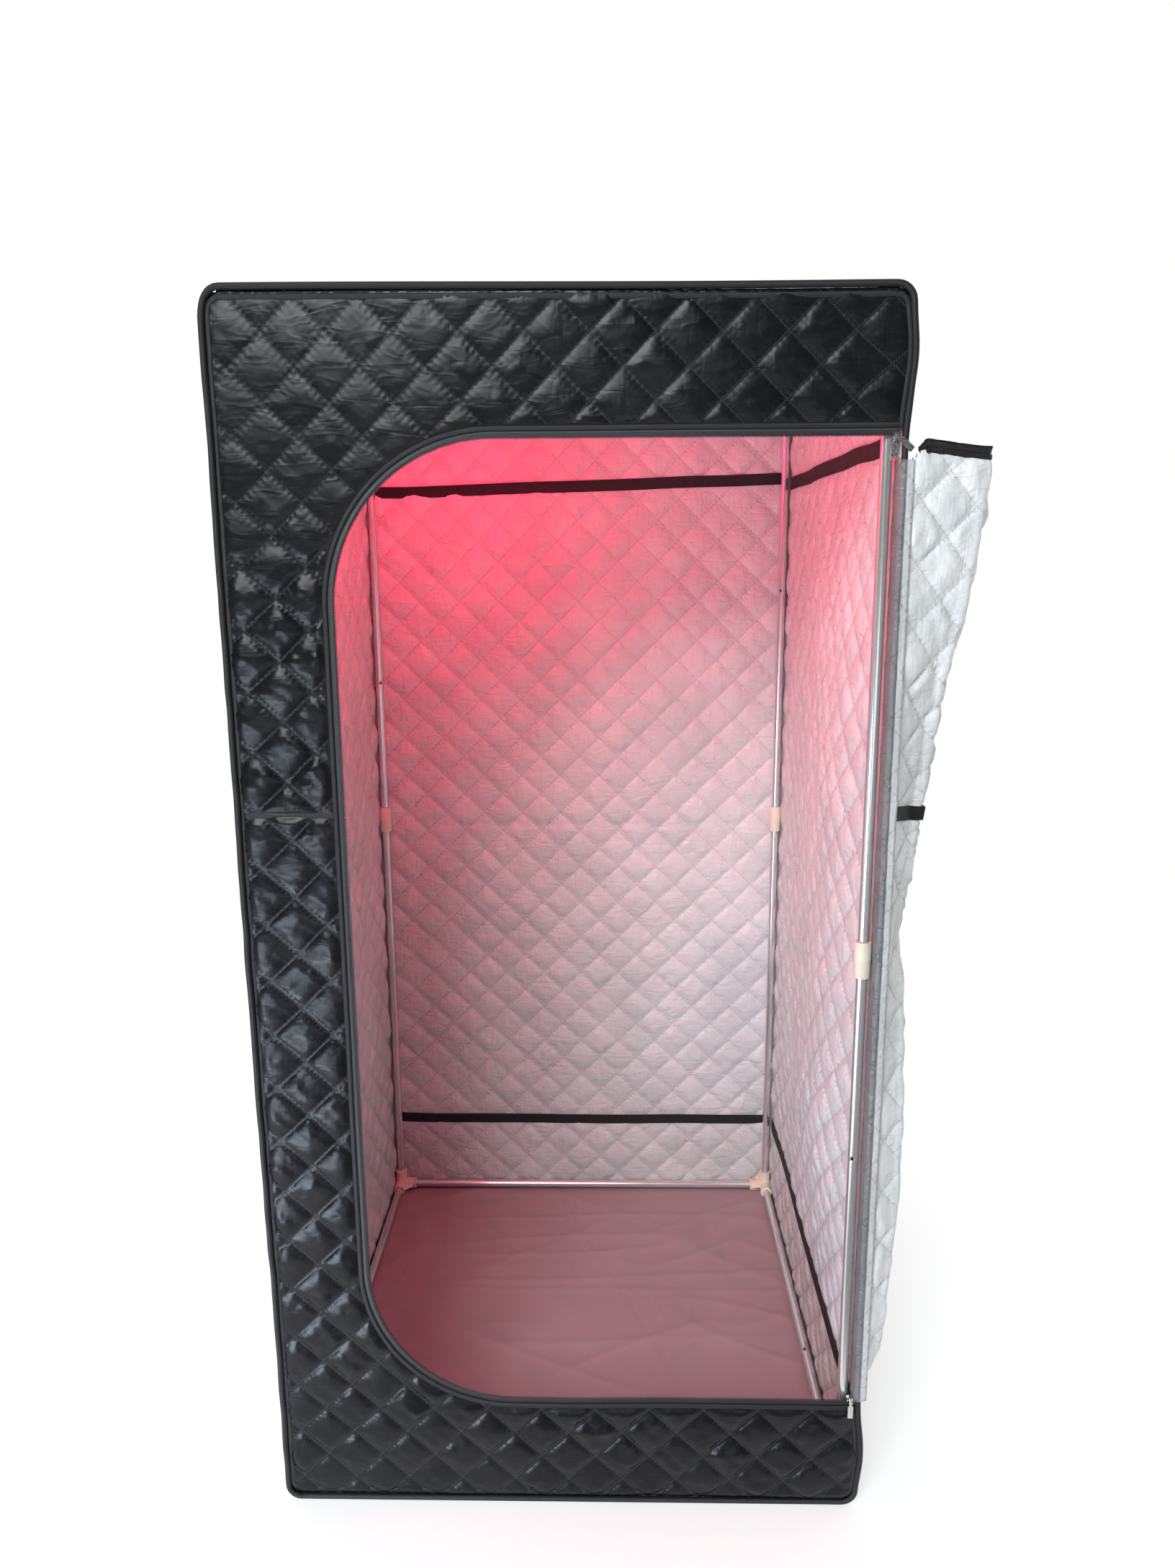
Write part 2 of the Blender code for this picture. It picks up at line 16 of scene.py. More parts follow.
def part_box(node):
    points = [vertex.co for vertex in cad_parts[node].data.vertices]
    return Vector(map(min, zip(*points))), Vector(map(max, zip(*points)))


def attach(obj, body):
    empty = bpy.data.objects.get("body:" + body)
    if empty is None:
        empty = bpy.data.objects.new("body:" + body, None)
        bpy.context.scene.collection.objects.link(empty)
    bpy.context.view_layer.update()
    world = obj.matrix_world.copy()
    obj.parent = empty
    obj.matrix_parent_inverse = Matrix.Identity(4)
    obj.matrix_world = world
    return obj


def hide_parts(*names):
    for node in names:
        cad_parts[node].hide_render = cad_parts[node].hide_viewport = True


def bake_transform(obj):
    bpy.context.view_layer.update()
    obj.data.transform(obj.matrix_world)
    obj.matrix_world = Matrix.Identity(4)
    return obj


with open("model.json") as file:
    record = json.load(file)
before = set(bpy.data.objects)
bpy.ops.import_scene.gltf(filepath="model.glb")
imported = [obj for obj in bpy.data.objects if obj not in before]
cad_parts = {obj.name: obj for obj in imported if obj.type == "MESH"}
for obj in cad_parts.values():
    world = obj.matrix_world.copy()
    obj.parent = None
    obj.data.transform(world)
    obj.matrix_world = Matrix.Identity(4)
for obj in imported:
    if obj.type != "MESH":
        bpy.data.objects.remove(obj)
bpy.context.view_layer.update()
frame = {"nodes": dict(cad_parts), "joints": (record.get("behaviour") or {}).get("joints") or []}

# Cover, from the frame
FRONT_LOW, FRONT_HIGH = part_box("front_panel")
HALF = FRONT_HIGH.x
LOW, HIGH = FRONT_LOW.z, FRONT_HIGH.z
CLOTH_Y = -(FRONT_LOW.y + FRONT_HIGH.y) / 2
SEAM = HALF + 0.006
ROOF_Z = (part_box("roof_panel")[0].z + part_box("roof_panel")[1].z) / 2
FLOOR_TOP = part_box("floor_panel")[1].z
CORNER_R = 0.0155
PIPING_R = 0.0045

# Quilting: diamonds of this width and height, and the distance between two stitched lines
QUILT_W, QUILT_H = 0.084, 0.083
PITCH = 1 / math.hypot(1 / QUILT_W, 1 / QUILT_H)
CREASE = 0.0080
PUFF_OUT, PUFF_IN = 0.0062, 0.0058
SEWN = 0.0007
TUCK = 0.0030

# Door opening and zip
ZIP_TOP, ZIP_BOTTOM, ZIP_LEFT, ZIP_R = 1.613, 0.188, -0.299, 0.215
ZIP_MIDDLE_Z = (ZIP_TOP + ZIP_BOTTOM) / 2
HINGE_CUT = 0.025

# Door: strip widths at the zip's top and bottom, and how far the fabric strays from the straight fold
FOLD_TOP, FOLD_BOTTOM = 0.126, 0.040
FOLD_REACH = 0.009
FLAP_TWIST = (
    (0.19, 72), (0.23, 36), (0.30, 17), (0.50, 13), (0.65, 19), (0.80, 33),
    (0.93, 48), (1.05, 40), (1.22, 30), (1.40, 9), (1.61, 0),
)
FLAP_SAG = 0.010
FLAP_FADE = 0.22

JOINTS = {joint["name"]: joint for joint in frame["joints"]}


# ---------------------------------------------------------------- patterns


def smooth_noise(u, v, size, seed):
    """A smooth random field from -1 to 1. size is the features' length along u and v."""
    table = np.random.default_rng(seed).uniform(-1, 1, (61, 61))
    x, y = u / size[0], v / size[1]
    i, j = np.floor(x).astype(int), np.floor(y).astype(int)
    fx, fy = (f * f * (3 - 2 * f) for f in (x - i, y - j))
    low = table[i % 61, j % 61] * (1 - fx) + table[(i + 1) % 61, j % 61] * fx
    high = table[i % 61, (j + 1) % 61] * (1 - fx) + table[(i + 1) % 61, (j + 1) % 61] * fx
    return low * (1 - fy) + high * fy


def folds(u, v, degrees, length, width, seed, sharp=4):
    """Narrow ridges, from 0 to 1, that run in one direction."""
    c, s = math.cos(math.radians(degrees)), math.sin(math.radians(degrees))
    field = smooth_noise(u * c + v * s, v * c - u * s, (length, width), seed)
    return (1 - np.abs(field)) ** sharp


def ease(x, low, high):
    """0 below low, 1 above high, and smooth between."""
    t = np.clip((np.asarray(x, float) - low) / (high - low), 0, 1)
    return t * t * (3 - 2 * t)


def hump(x, middle, width):
    return np.exp(-(((x - middle) / width) ** 2))


def lattice(u, v):
    """Signed distance from the nearest stitched line of each slanting family, and the diamond's number."""
    a, b = u / QUILT_W + v / QUILT_H, u / QUILT_W - v / QUILT_H
    cell = np.floor(a - 0.5).astype(int), np.floor(b - 0.5).astype(int)
    return (a - np.floor(a) - 0.5) * PITCH, (b - np.floor(b) - 0.5) * PITCH, cell


def quilting(u, v, seed):
    """The pillow shape of the quilting, from 0 on the stitches to about 1 in the middle of a diamond."""
    da, db, (ia, ib) = lattice(u, v)
    rise_a, rise_b = 1 - np.exp(-np.abs(da) / CREASE), 1 - np.exp(-np.abs(db) / CREASE)
    table = np.random.default_rng(seed).uniform(0.72, 1.2, (97, 97))
    lean = np.random.default_rng(seed + 1).uniform(-9, 9, (97, 97))
    tilt = 1 + lean[ia % 97, ib % 97] * np.sin(math.pi * da / PITCH) * 0.02
    return rise_a * rise_b * table[ia % 97, ib % 97] * tilt


def crumple(u, v, seed, width=0.0055):
    """A few straight ridges and dents in each diamond, each in its own direction, from about -1 to 1."""
    da, db, (ia, ib) = lattice(u, v)
    cell = ia % 97, ib % 97
    total = np.zeros(len(u))
    for k in range(3):
        rng = np.random.default_rng(seed + k)
        spans = (0, math.pi), (-0.018, 0.018), (-0.7, 1)
        turn, shift, size = (rng.uniform(*span, (97, 97)) for span in spans)
        across = da * np.cos(turn[cell]) + db * np.sin(turn[cell]) - shift[cell]
        total += size[cell] * np.exp(-((across / width) ** 2))
    return total


def inside_corner(du, dv, radius):
    """Signed distance inside a rounded corner, from the distances past its centre."""
    outside = np.hypot(np.maximum(du, 0), np.maximum(dv, 0))
    return radius - outside - np.minimum(np.maximum(du, dv), 0)


def rectangle(half_u, low_v, high_v, radius):
    """Signed distance inside a rounded rectangle centred on u = 0."""
    def distance(u, v):
        middle, half_v = (low_v + high_v) / 2, (high_v - low_v) / 2
        return inside_corner(np.abs(u) - half_u + radius, np.abs(v - middle) - half_v + radius, radius)
    return distance


def opening(u, v):
    """Signed distance inside the door opening's zip line, which runs off to the right."""
    right = 2.0
    middle, half_u = (ZIP_LEFT + right) / 2, (right - ZIP_LEFT) / 2
    half_v = (ZIP_TOP - ZIP_BOTTOM) / 2
    return inside_corner(
        np.abs(u - middle) - half_u + ZIP_R, np.abs(v - ZIP_MIDDLE_Z) - half_v + ZIP_R, ZIP_R)


# ---------------------------------------------------------------- mesh making


def link(name, mesh, materials):
    for material in materials:
        mesh.materials.append(material)
    made = bpy.data.objects.new(name, mesh)
    bpy.context.scene.collection.objects.link(made)
    return made


def volume_of(points, faces):
    total = 0.0
    for size in (3, 4):
        group = np.array([f for f in faces if len(f) == size], int).reshape(-1, size)
        for k in range(1, size - 1):
            a, b, c = points[group[:, 0]], points[group[:, k]], points[group[:, k + 1]]
            total += float((a * np.cross(b, c)).sum())
    return total


def mesh_from(name, points, faces, kinds, cloth=None):
    """A smooth mesh whose faces point out.

    kinds gives each face's material, cloth each point's flat place.
    """
    if volume_of(points, faces) < 0:
        faces = [face[::-1] for face in faces]
    mesh = bpy.data.meshes.new(name)
    mesh.from_pydata(points.tolist(), [], [list(map(int, f)) for f in faces])
    mesh.polygons.foreach_set("material_index", np.array(kinds, np.int32))
    if cloth is not None:
        corner = np.zeros(len(mesh.loops), np.int32)
        mesh.loops.foreach_get("vertex_index", corner)
        layer = mesh.uv_layers.new(name="cloth")
        layer.data.foreach_set("uv", np.asarray(cloth, np.float32)[corner].ravel())
    mesh.shade_smooth()
    return mesh


def sheet_grid(shape, extent, cells):
    """Points and faces over the region where shape(u, v) is positive, with rows along the stitched lines."""
    step_u, step_v = QUILT_W / cells, QUILT_H / cells
    (low_u, high_u), (low_v, high_v) = extent
    gi = np.arange(math.floor(low_u / step_u) - 1, math.ceil(high_u / step_u) + 2)
    gj = np.arange(math.floor(low_v / step_v) - 1, math.ceil(high_v / step_v) + 2)
    gu, gv = np.meshgrid(gi * step_u, gj * step_v, indexing="ij")
    ci, cj = np.meshgrid(gi[:-1], gj[:-1], indexing="ij")
    keep = shape((ci + 0.5) * step_u, (cj + 0.5) * step_v) > 0
    rows, columns = np.nonzero(keep)
    width = len(gj)
    corner = [r * width + c for r, c in (
        (rows, columns), (rows + 1, columns), (rows + 1, columns + 1), (rows, columns + 1))]
    used = np.unique(np.concatenate(corner))
    renumber = np.full(gu.size, -1)
    renumber[used] = np.arange(len(used))
    q = [renumber[c] for c in corner]
    u, v = gu.ravel()[used], gv.ravel()[used]

    # Points near or past the edge move onto it.
    for _ in range(3):
        s = shape(u, v)
        near = s < 0.3 * step_u
        e = 1e-5
        slope_u, slope_v = (shape(u + e, v) - s) / e, (shape(u, v + e) - s) / e
        length = np.maximum(np.hypot(slope_u, slope_v), 1e-6)
        u = np.where(near, u - s * slope_u / length, u)
        v = np.where(near, v - s * slope_v / length, v)

    i, j = ci[rows, columns], cj[rows, columns]
    falling = (i + j + 1) % cells == cells // 2
    rising = (i - j) % cells == cells // 2
    faces = []
    for k in range(len(rows)):
        a, b, c, d = q[0][k], q[1][k], q[2][k], q[3][k]
        if falling[k]:
            faces += [(a, b, d), (b, c, d)]
        elif rising[k]:
            faces += [(a, b, c), (a, c, d)]
        else:
            faces.append((a, b, c, d))
    return u, v, faces


def open_edges(faces):
    edges = set()
    for face in faces:
        for a, b in zip(face, face[1:] + face[:1]):
            if (b, a) in edges:
                edges.remove((b, a))
            else:
                edges.add((a, b))
    return sorted(edges)


def quilted_sheet(name, shape, extent, place, relief, materials, cells=14):
    """A closed sheet of two layers.

    relief(u, v, edge) gives the outer and inner layer's distance from the middle.
    """
    u, v, faces = sheet_grid(shape, extent, cells)
    outer, inner = relief(u, v, shape(u, v))
    points = np.concatenate([place(u, v, outer), place(u, v, -inner)])
    n = len(u)
    back = [tuple(x + n for x in face[::-1]) for face in faces]
    rim = [(b, a, a + n, b + n) for a, b in open_edges(faces)]
    kinds = [0] * len(faces) + [1] * len(back) + [0] * len(rim)
    flat = np.stack([u, v], 1)
    mesh = mesh_from(name, points, faces + back + rim, kinds, np.concatenate([flat, flat]))
    return link(name, mesh, materials)


def band(name, path, section, place, materials, closed=False, along=None):
    """A sheet or cord of constant section swept along a flat path.

    path: (u, v, out_u, out_v) rows; section: (offset, height) rows, counter-clockwise;
    place maps (u, v, height).
    """
    path, section = np.asarray(path, float), np.asarray(section, float)
    n, m = len(path), len(section)
    if along is None:
        steps = np.hypot(*(np.roll(path[:, :2], -1, 0) - path[:, :2]).T)
        along = np.concatenate([[0], np.cumsum(steps)[:-1]])
    offset, height = np.tile(section[:, 0], n), np.tile(section[:, 1], n)
    rows = np.repeat(path, m, 0)
    u, v = rows[:, 0] + rows[:, 2] * offset, rows[:, 1] + rows[:, 3] * offset
    points = place(u, v, height)
    faces = []
    for i in range(n if closed else n - 1):
        here, there = i * m, (i + 1) % n * m
        for k in range(m):
            l = (k + 1) % m
            faces.append((here + k, here + l, there + l, there + k))
    if not closed:
        faces += [tuple(range(m)), tuple(range((n - 1) * m, n * m))[::-1]]
    around = np.concatenate([[0], np.cumsum(np.hypot(*np.diff(section, axis=0).T))])
    flat = np.stack([np.repeat(along, m), np.tile(around, n)], 1)
    caps = [f for f in faces if len(f) > 4]
    body = [f for f in faces if len(f) <= 4]
    fan = [(cap[0], cap[k], cap[k + 1]) for cap in caps for k in range(1, len(cap) - 1)]
    mesh = mesh_from(name, points, body + fan, [0] * (len(body) + len(fan)), flat)
    mesh.set_sharp_from_angle(angle=math.radians(55))
    return link(name, mesh, materials)


def strap_section(low, high, bottom, top, rounding=0.0006):
    """A flat strap's section: offsets low to high, heights bottom to top, with eased edges."""
    r = min(rounding, (top - bottom) / 2.2)
    return [
        (low, bottom + r), (low + r, bottom), (high - r, bottom), (high, bottom + r),
        (high, top - r), (high - r, top), (low + r, top), (low, top - r),
    ]


# ---------------------------------------------------------------- paths


def rounded_path(half_u, low_v, high_v, radius, step=0.008):
    """A closed path round a rounded rectangle, from the right side's middle, counter-clockwise."""
    rows = []
    middle = (low_v + high_v) / 2
    corners = (
        (half_u - radius, high_v - radius, 0), (radius - half_u, high_v - radius, 90),
        (radius - half_u, low_v + radius, 180), (half_u - radius, low_v + radius, 270),
    )
    last = (half_u, middle)
    for cu, cv, start in corners:
        first = (cu + radius * math.cos(math.radians(start)), cv + radius * math.sin(math.radians(start)))
        out = (math.cos(math.radians(start)), math.sin(math.radians(start)))
        count = max(1, round(math.dist(last, first) / step))
        for k in range(count):
            t = k / count
            rows.append((last[0] + (first[0] - last[0]) * t, last[1] + (first[1] - last[1]) * t, *out))
        for k in range(7):
            turn = math.radians(start + 90 * k / 6)
            c, s = math.cos(turn), math.sin(turn)
            rows.append((cu + radius * c, cv + radius * s, c, s))
        last = rows[-1][:2]
    count = round(math.dist(last, (half_u, middle)) / step)
    for k in range(1, count):
        rows.append((half_u, last[1] + (middle - last[1]) * k / count, 1, 0))
    return rows


def zip_path(right, step=0.006):
    """The zip line from the top right, round the left side, to the bottom right, with outward directions."""
    centre = ZIP_LEFT + ZIP_R
    rows = []
    count = round((right - centre) / step)
    rows += [(right + (centre - right) * k / count, ZIP_TOP, 0, 1) for k in range(count)]
    turns = round(math.pi / 2 * ZIP_R / step)
    for middle_v, start in ((ZIP_TOP - ZIP_R, 90), (ZIP_BOTTOM + ZIP_R, 180)):
        for k in range(turns + 1):
            turn = math.radians(start + 90 * k / turns)
            c, s = math.cos(turn), math.sin(turn)
            rows.append((centre + ZIP_R * c, middle_v + ZIP_R * s, c, s))
        if start == 90:
            height = ZIP_TOP - ZIP_BOTTOM - 2 * ZIP_R
            drops = round(height / step)
            rows += [(ZIP_LEFT, ZIP_TOP - ZIP_R - height * k / drops, -1, 0) for k in range(1, drops)]
    rows += [(centre + (right - centre) * k / count, ZIP_BOTTOM, 0, -1) for k in range(1, count + 1)]
    return rows


def straight_path(start, end, step=0.008):
    """A straight path whose outward side is to its right."""
    length = math.dist(start, end)
    du, dv = (end[0] - start[0]) / length, (end[1] - start[1]) / length
    count = max(2, round(length / step))
    return [
        (start[0] + du * length * k / count, start[1] + dv * length * k / count, dv, -du)
        for k in range(count + 1)]


# ---------------------------------------------------------------- where each sheet lies


def front_bulge(u, v):
    """How far the front's cloth stands out from its plane, towards the viewer."""
    right_low = hump(u, 0.40, 0.05) * hump(v, 0.05, 0.07)
    seam = -0.0016 * hump(v, SEAM_Z, 0.004) * (u < ZIP_LEFT)
    sag = 0.0022 * smooth_noise(u, v, (0.16, 0.21), 5)
    return 0.004 * right_low + seam + sag * ease(HALF - np.abs(u), 0, 0.05)


def right_bow(v):
    """How far the front right edge is pushed out above and below the door."""
    return 0.008 * hump(v, 1.715, 0.055) + 0.009 * hump(v, 0.09, 0.065)


def left_bow(v):
    return 0.004 * ease(v, 0.1, 1.0) * ease(HIGH - v, 0, 0.03)


def skewed(u, v):
    """The front isn't quite square: its sides bow out and its top left corner stands a little higher."""
    out = right_bow(v) * ease(u, 0.38, HALF) - left_bow(v) * ease(-u, 0.38, HALF)
    return u + out, v + 0.005 * ease(v, 1.68, HIGH) * ease(-u, -0.30, HALF)


def place_front(u, v, n):
    bulge = front_bulge(u, v)
    u, v = skewed(u, v)
    return np.stack([u, -(CLOTH_Y + n + bulge), v], 1)


def back_bulge(u, v):
    soft = 0.004 * smooth_noise(u, v, (0.30, 0.36), 11)
    packed = 0.0016 * (hump(u, 0.012, 0.006) + hump(v, 0.885, 0.006) + hump(v, 1.33, 0.006))
    free = ease(HALF - np.abs(u), 0, 0.06) * ease(v, LOW, LOW + 0.06) * ease(HIGH - v, 0, 0.06)
    return (soft + packed) * free


def place_back(u, v, n):
    return np.stack([u, CLOTH_Y + n + back_bulge(u, v), v], 1)


def place_left(u, v, n):
    free = ease(HALF - np.abs(u), 0, 0.06) * ease(v, LOW, LOW + 0.06) * ease(HIGH - v, 0, 0.06)
    bulge = 0.005 * smooth_noise(u, v, (0.26, 0.34), 23) * free
    return np.stack([-(CLOTH_Y + n + bulge + left_bow(v) * ease(-u, 0.30, HALF)), u, v], 1)


def right_bulge(u, v):
    """The right wall leans into the cabin behind the front upright, where the open door pulls on it."""
    lean = (ease(u, -0.425, -0.20) * (1 - ease(u, -0.16, 0.24))
            * ease(v, 0.20, 0.55) * (1 - ease(v, 1.02, 1.56)))
    free = ease(HALF - np.abs(u), 0, 0.06) * ease(v, LOW, LOW + 0.06) * ease(HIGH - v, 0, 0.06)
    return -0.027 * lean + 0.004 * smooth_noise(u, v, (0.24, 0.30), 31) * free


def place_right(u, v, n):
    return np.stack([CLOTH_Y + n + right_bulge(u, v) + right_bow(v) * ease(-u, 0.30, HALF), u, v], 1)


def place_roof(u, v, n):
    sag = (-0.006 * (1 - (u / HALF) ** 2) * (1 - (v / HALF) ** 2)
           * (1 + 0.3 * smooth_noise(u, v, (0.2, 0.2), 41)))
    return np.stack([u, v, ROOF_Z + n + sag], 1)


# ---------------------------------------------------------------- the door's place


def turn_about(points, pivot, axis, angle):
    """Points turned about a line, by an angle or one angle for each."""
    p = points - pivot
    c, s = np.cos(angle), np.sin(angle)
    if np.ndim(angle):
        c, s = c[:, None], s[:, None]
    return pivot + p * c + np.cross(axis, p) * s + axis * (p @ axis)[:, None] * (1 - c)


HINGE = np.array(JOINTS["door_swing"]["pos_m"], float)
SWING = math.radians(-JOINTS["door_swing"]["range_deg"][0])
FOLD_AXIS = np.array(JOINTS["door_fold"]["axis"], float)
FOLD_AXIS /= np.linalg.norm(FOLD_AXIS)
FOLD = math.radians(-JOINTS["door_fold"]["range_deg"][0])
FOLD_FOOT = np.array(JOINTS["door_fold"]["pos_m"], float)
FOLD_MIDDLE = FOLD_FOOT + FOLD_AXIS * (ZIP_MIDDLE_Z - FOLD_FOOT[2]) / FOLD_AXIS[2]
BEND_TURN = SWING - math.pi + FOLD / 2
BEND = np.array([math.cos(BEND_TURN), math.sin(BEND_TURN), 0.0])
BEND -= FOLD_AXIS * (BEND @ FOLD_AXIS)
BEND /= np.linalg.norm(BEND)
BEND_START, BEND_END = FOLD_MIDDLE - BEND * FOLD_REACH, FOLD_MIDDLE + BEND * FOLD_REACH
UP = np.array([0.0, 0.0, 1.0])


def fold_distance(v):
    """How far the fold line is from the hinge at height v, with the door closed."""
    return FOLD_BOTTOM + (FOLD_TOP - FOLD_BOTTOM) * (v - ZIP_BOTTOM) / (ZIP_TOP - ZIP_BOTTOM)


def flap_stray(u, v):
    """How the hanging fabric strays from the plain fold: it twists towards its waist and sags a little."""
    heights, twists = zip(*FLAP_TWIST)
    fine = np.linspace(heights[0], heights[-1], 201)
    rough = np.interp(fine, heights, twists)
    kernel = np.hanning(13) / np.hanning(13).sum()
    smooth = np.convolve(np.pad(rough, 6, "edge"), kernel, "valid")
    twist = np.radians(np.interp(v, fine, smooth))
    reach, fold = np.maximum(SEAM - u, 0), fold_distance(v)
    held = np.minimum(reach, fold)
    start = SWING - math.pi
    moved = held * (np.cos(start + twist) - math.cos(start)), held * (np.sin(start + twist) - math.sin(start))
    fade = np.exp(-((np.maximum(reach - fold, 0) / (FLAP_FADE + 0.10 * hump(v, 0.97, 0.20))) ** 2))
    sag = -FLAP_SAG * ease(held / fold, 0, 1) * ease(v, 0.25, 0.8)
    return np.stack([moved[0] * fade, moved[1] * fade, sag * fade], 1)


def place_door(u, v, n):
    """Where a point of the closed door lies with the door open: the inverse of what closing it does."""
    pulled = folds(u, v, 68, 0.14, 0.035, 62, 5) + folds(u, v, 112, 0.12, 0.040, 63, 5)
    ripple = (0.0035 * smooth_noise(u, v, (0.05, 0.22), 61) + 0.0028 * pulled) * ease(SEAM - u, 0.01, 0.05)
    closed = np.stack([u, -(CLOTH_Y + n + ripple), v], 1)
    opened = turn_about(closed, HINGE, UP, SWING)
    stray = flap_stray(u, v)
    share = np.zeros(len(u))
    for _ in range(40):
        rest = turn_about(opened, FOLD_FOOT, FOLD_AXIS, FOLD * share) + stray
        t = np.clip((rest - BEND_START) @ BEND / (2 * FOLD_REACH), 0, 1)
        share = (share + t * t * (3 - 2 * t)) / 2
    return turn_about(opened, FOLD_FOOT, FOLD_AXIS, FOLD * share) + stray


def bend_with_door(piece):
    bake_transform(piece)


# ---------------------------------------------------------------- materials


class Finish:
    """A Principled material with short calls for the nodes that shape it."""

    def __init__(self, name, colour, roughness, metallic=0.0):
        self.material = bpy.data.materials.new(name)
        self.material.use_nodes = True
        self.nodes = self.material.node_tree.nodes
        self.links = self.material.node_tree.links
        self.shader = self.nodes["Principled BSDF"]
        self.shader.inputs["Base Color"].default_value = (*colour, 1)
        self.shader.inputs["Roughness"].default_value = roughness
        self.shader.inputs["Metallic"].default_value = metallic

    def put(self, socket, value):
        if isinstance(value, bpy.types.NodeSocket):
            self.links.new(value, socket)
        else:
            socket.default_value = value

    def set(self, name, value):
        self.put(self.shader.inputs[name], value)

    def math(self, operation, *values):
        node = self.nodes.new("ShaderNodeMath")
        node.operation = operation
        for socket, value in zip(node.inputs, values):
            self.put(socket, value)
        return node.outputs[0]

    def cloth(self):
        """The flat place of a point in its sheet, in metres."""
        node = self.nodes.new("ShaderNodeUVMap")
        node.uv_map = "cloth"
        return node.outputs[0]

    def object_place(self):
        return self.nodes.new("ShaderNodeTexCoord").outputs["Object"]

    def scaled(self, vector, scale, degrees=0):
        node = self.nodes.new("ShaderNodeMapping")
        node.inputs["Rotation"].default_value = (0, 0, math.radians(degrees))
        node.inputs["Scale"].default_value = scale
        self.put(node.inputs["Vector"], vector)
        return node.outputs[0]

    def split(self, vector):
        node = self.nodes.new("ShaderNodeSeparateXYZ")
        self.put(node.inputs[0], vector)
        return node.outputs

    def noise(self, vector, scale, detail=2.0, distortion=0.0):
        node = self.nodes.new("ShaderNodeTexNoise")
        self.put(node.inputs["Vector"], vector)
        node.inputs["Scale"].default_value = scale
        node.inputs["Detail"].default_value = detail
        node.inputs["Distortion"].default_value = distortion
        return node.outputs["Fac"]

    def ramp(self, factor, low, high, from_low=0.0, from_high=1.0):
        node = self.nodes.new("ShaderNodeMapRange")
        node.interpolation_type = "SMOOTHSTEP"
        for name, value in (("Value", factor), ("From Min", from_low), ("From Max", from_high),
                            ("To Min", low), ("To Max", high)):
            self.put(node.inputs[name], value)
        return node.outputs[0]

    def blend(self, factor, first, second):
        node = self.nodes.new("ShaderNodeMix")
        node.data_type = "RGBA"
        self.put(node.inputs["Factor"], factor)
        for socket, value in (("A", first), ("B", second)):
            target = next(s for s in node.inputs if s.name == socket and s.type == "RGBA")
            self.put(target, value if isinstance(value, bpy.types.NodeSocket) else (*value, 1))
        return next(s for s in node.outputs if s.type == "RGBA")

    def bump(self, height, distance, strength=1.0, below=None):
        node = self.nodes.new("ShaderNodeBump")
        node.inputs["Strength"].default_value = strength
        node.inputs["Distance"].default_value = distance
        self.put(node.inputs["Height"], height)
        if below is not None:
            self.put(node.inputs["Normal"], below)
        return node.outputs[0]


def stitching(finish, place, phase):
    """The zigzag thread along the quilting lines, and the small gathers that it pulls into the cloth."""
    swing, thread, step, gather = 0.0011, 0.0006, 0.0040, 0.0085
    u, v = finish.split(place)[:2]
    m = finish.math
    along_u, along_v = m("DIVIDE", u, QUILT_W), m("DIVIDE", v, QUILT_H)
    lines = m("ADD", along_u, along_v), m("SUBTRACT", along_u, along_v)
    far = [m("MULTIPLY", m("SUBTRACT", m("FRACT", line), 0.5), PITCH) for line in lines]
    threads, gathers = [], []
    for away, other in zip(far, reversed(lines)):
        walked = m("MULTIPLY", other, PITCH)
        zigzag = m("MULTIPLY_ADD", m("PINGPONG", m("DIVIDE", walked, step), 0.5), 4 * swing, -swing)
        off = m("ABSOLUTE", m("SUBTRACT", away, zigzag))
        threads.append(finish.ramp(off, 1.0, 0.0, 0.4 * thread, 1.3 * thread))
        wave = m("SINE", m("ADD", m("MULTIPLY", walked, 2 * math.pi / gather), m("MULTIPLY", phase, 14.0)))
        near = m("POWER", math.e, m("MULTIPLY", m("ABSOLUTE", away), -1 / 0.0075))
        gathers.append(m("MULTIPLY", wave, near))
    return m("MAXIMUM", *threads), m("ADD", *gathers)


def weave(finish, place, count=900.0):
    """A fine plain weave, from 0 to 1."""
    u, v = finish.split(place)[:2]
    m = finish.math
    across = m("SINE", m("MULTIPLY", u, 2 * math.pi * count / 2))
    down = m("SINE", m("MULTIPLY", v, 2 * math.pi * count / 2))
    return m("MULTIPLY_ADD", m("MULTIPLY", across, down), 0.5, 0.5)


def quilted_cloth(name, colours, thread, roughness, wrinkle, gathered):
    """Quilted cloth: zigzag stitches, the gathers beside them, wrinkles between them and a fine weave."""
    finish = Finish(name, colours[0], roughness[0])
    place = finish.cloth()
    patches = finish.noise(place, 7.0, 3)
    stitches, gathers = stitching(finish, place, patches)
    base = finish.blend(finish.ramp(patches, 0, 1, 0.35, 0.65), colours[0], colours[1])
    fine_down = finish.noise(finish.scaled(place, (90, 22, 1), 8), 1.0, 1, 0.8)
    fine_slant = finish.noise(finish.scaled(place, (20, 62, 1), 52), 1.0, 1, 0.9)
    finish.set("Base Color", finish.blend(stitches, base, thread))
    finish.set("Roughness", finish.ramp(fine_slant, roughness[0], roughness[1], 0.3, 0.7))
    ridge = finish.math("ABSOLUTE", finish.math("SUBTRACT", fine_slant, 0.5))
    creased = finish.math(
        "SUBTRACT", finish.math("MULTIPLY", fine_down, 0.8), finish.math("MULTIPLY", ridge, 1.6))
    normal = finish.bump(creased, 0.0018 * wrinkle, 1.0)
    normal = finish.bump(gathers, gathered, 1.0, normal)
    normal = finish.bump(stitches, 0.0003, 1.0, normal)
    normal = finish.bump(weave(finish, place), 0.00005, 0.5, normal)
    finish.set("Normal", normal)
    return finish


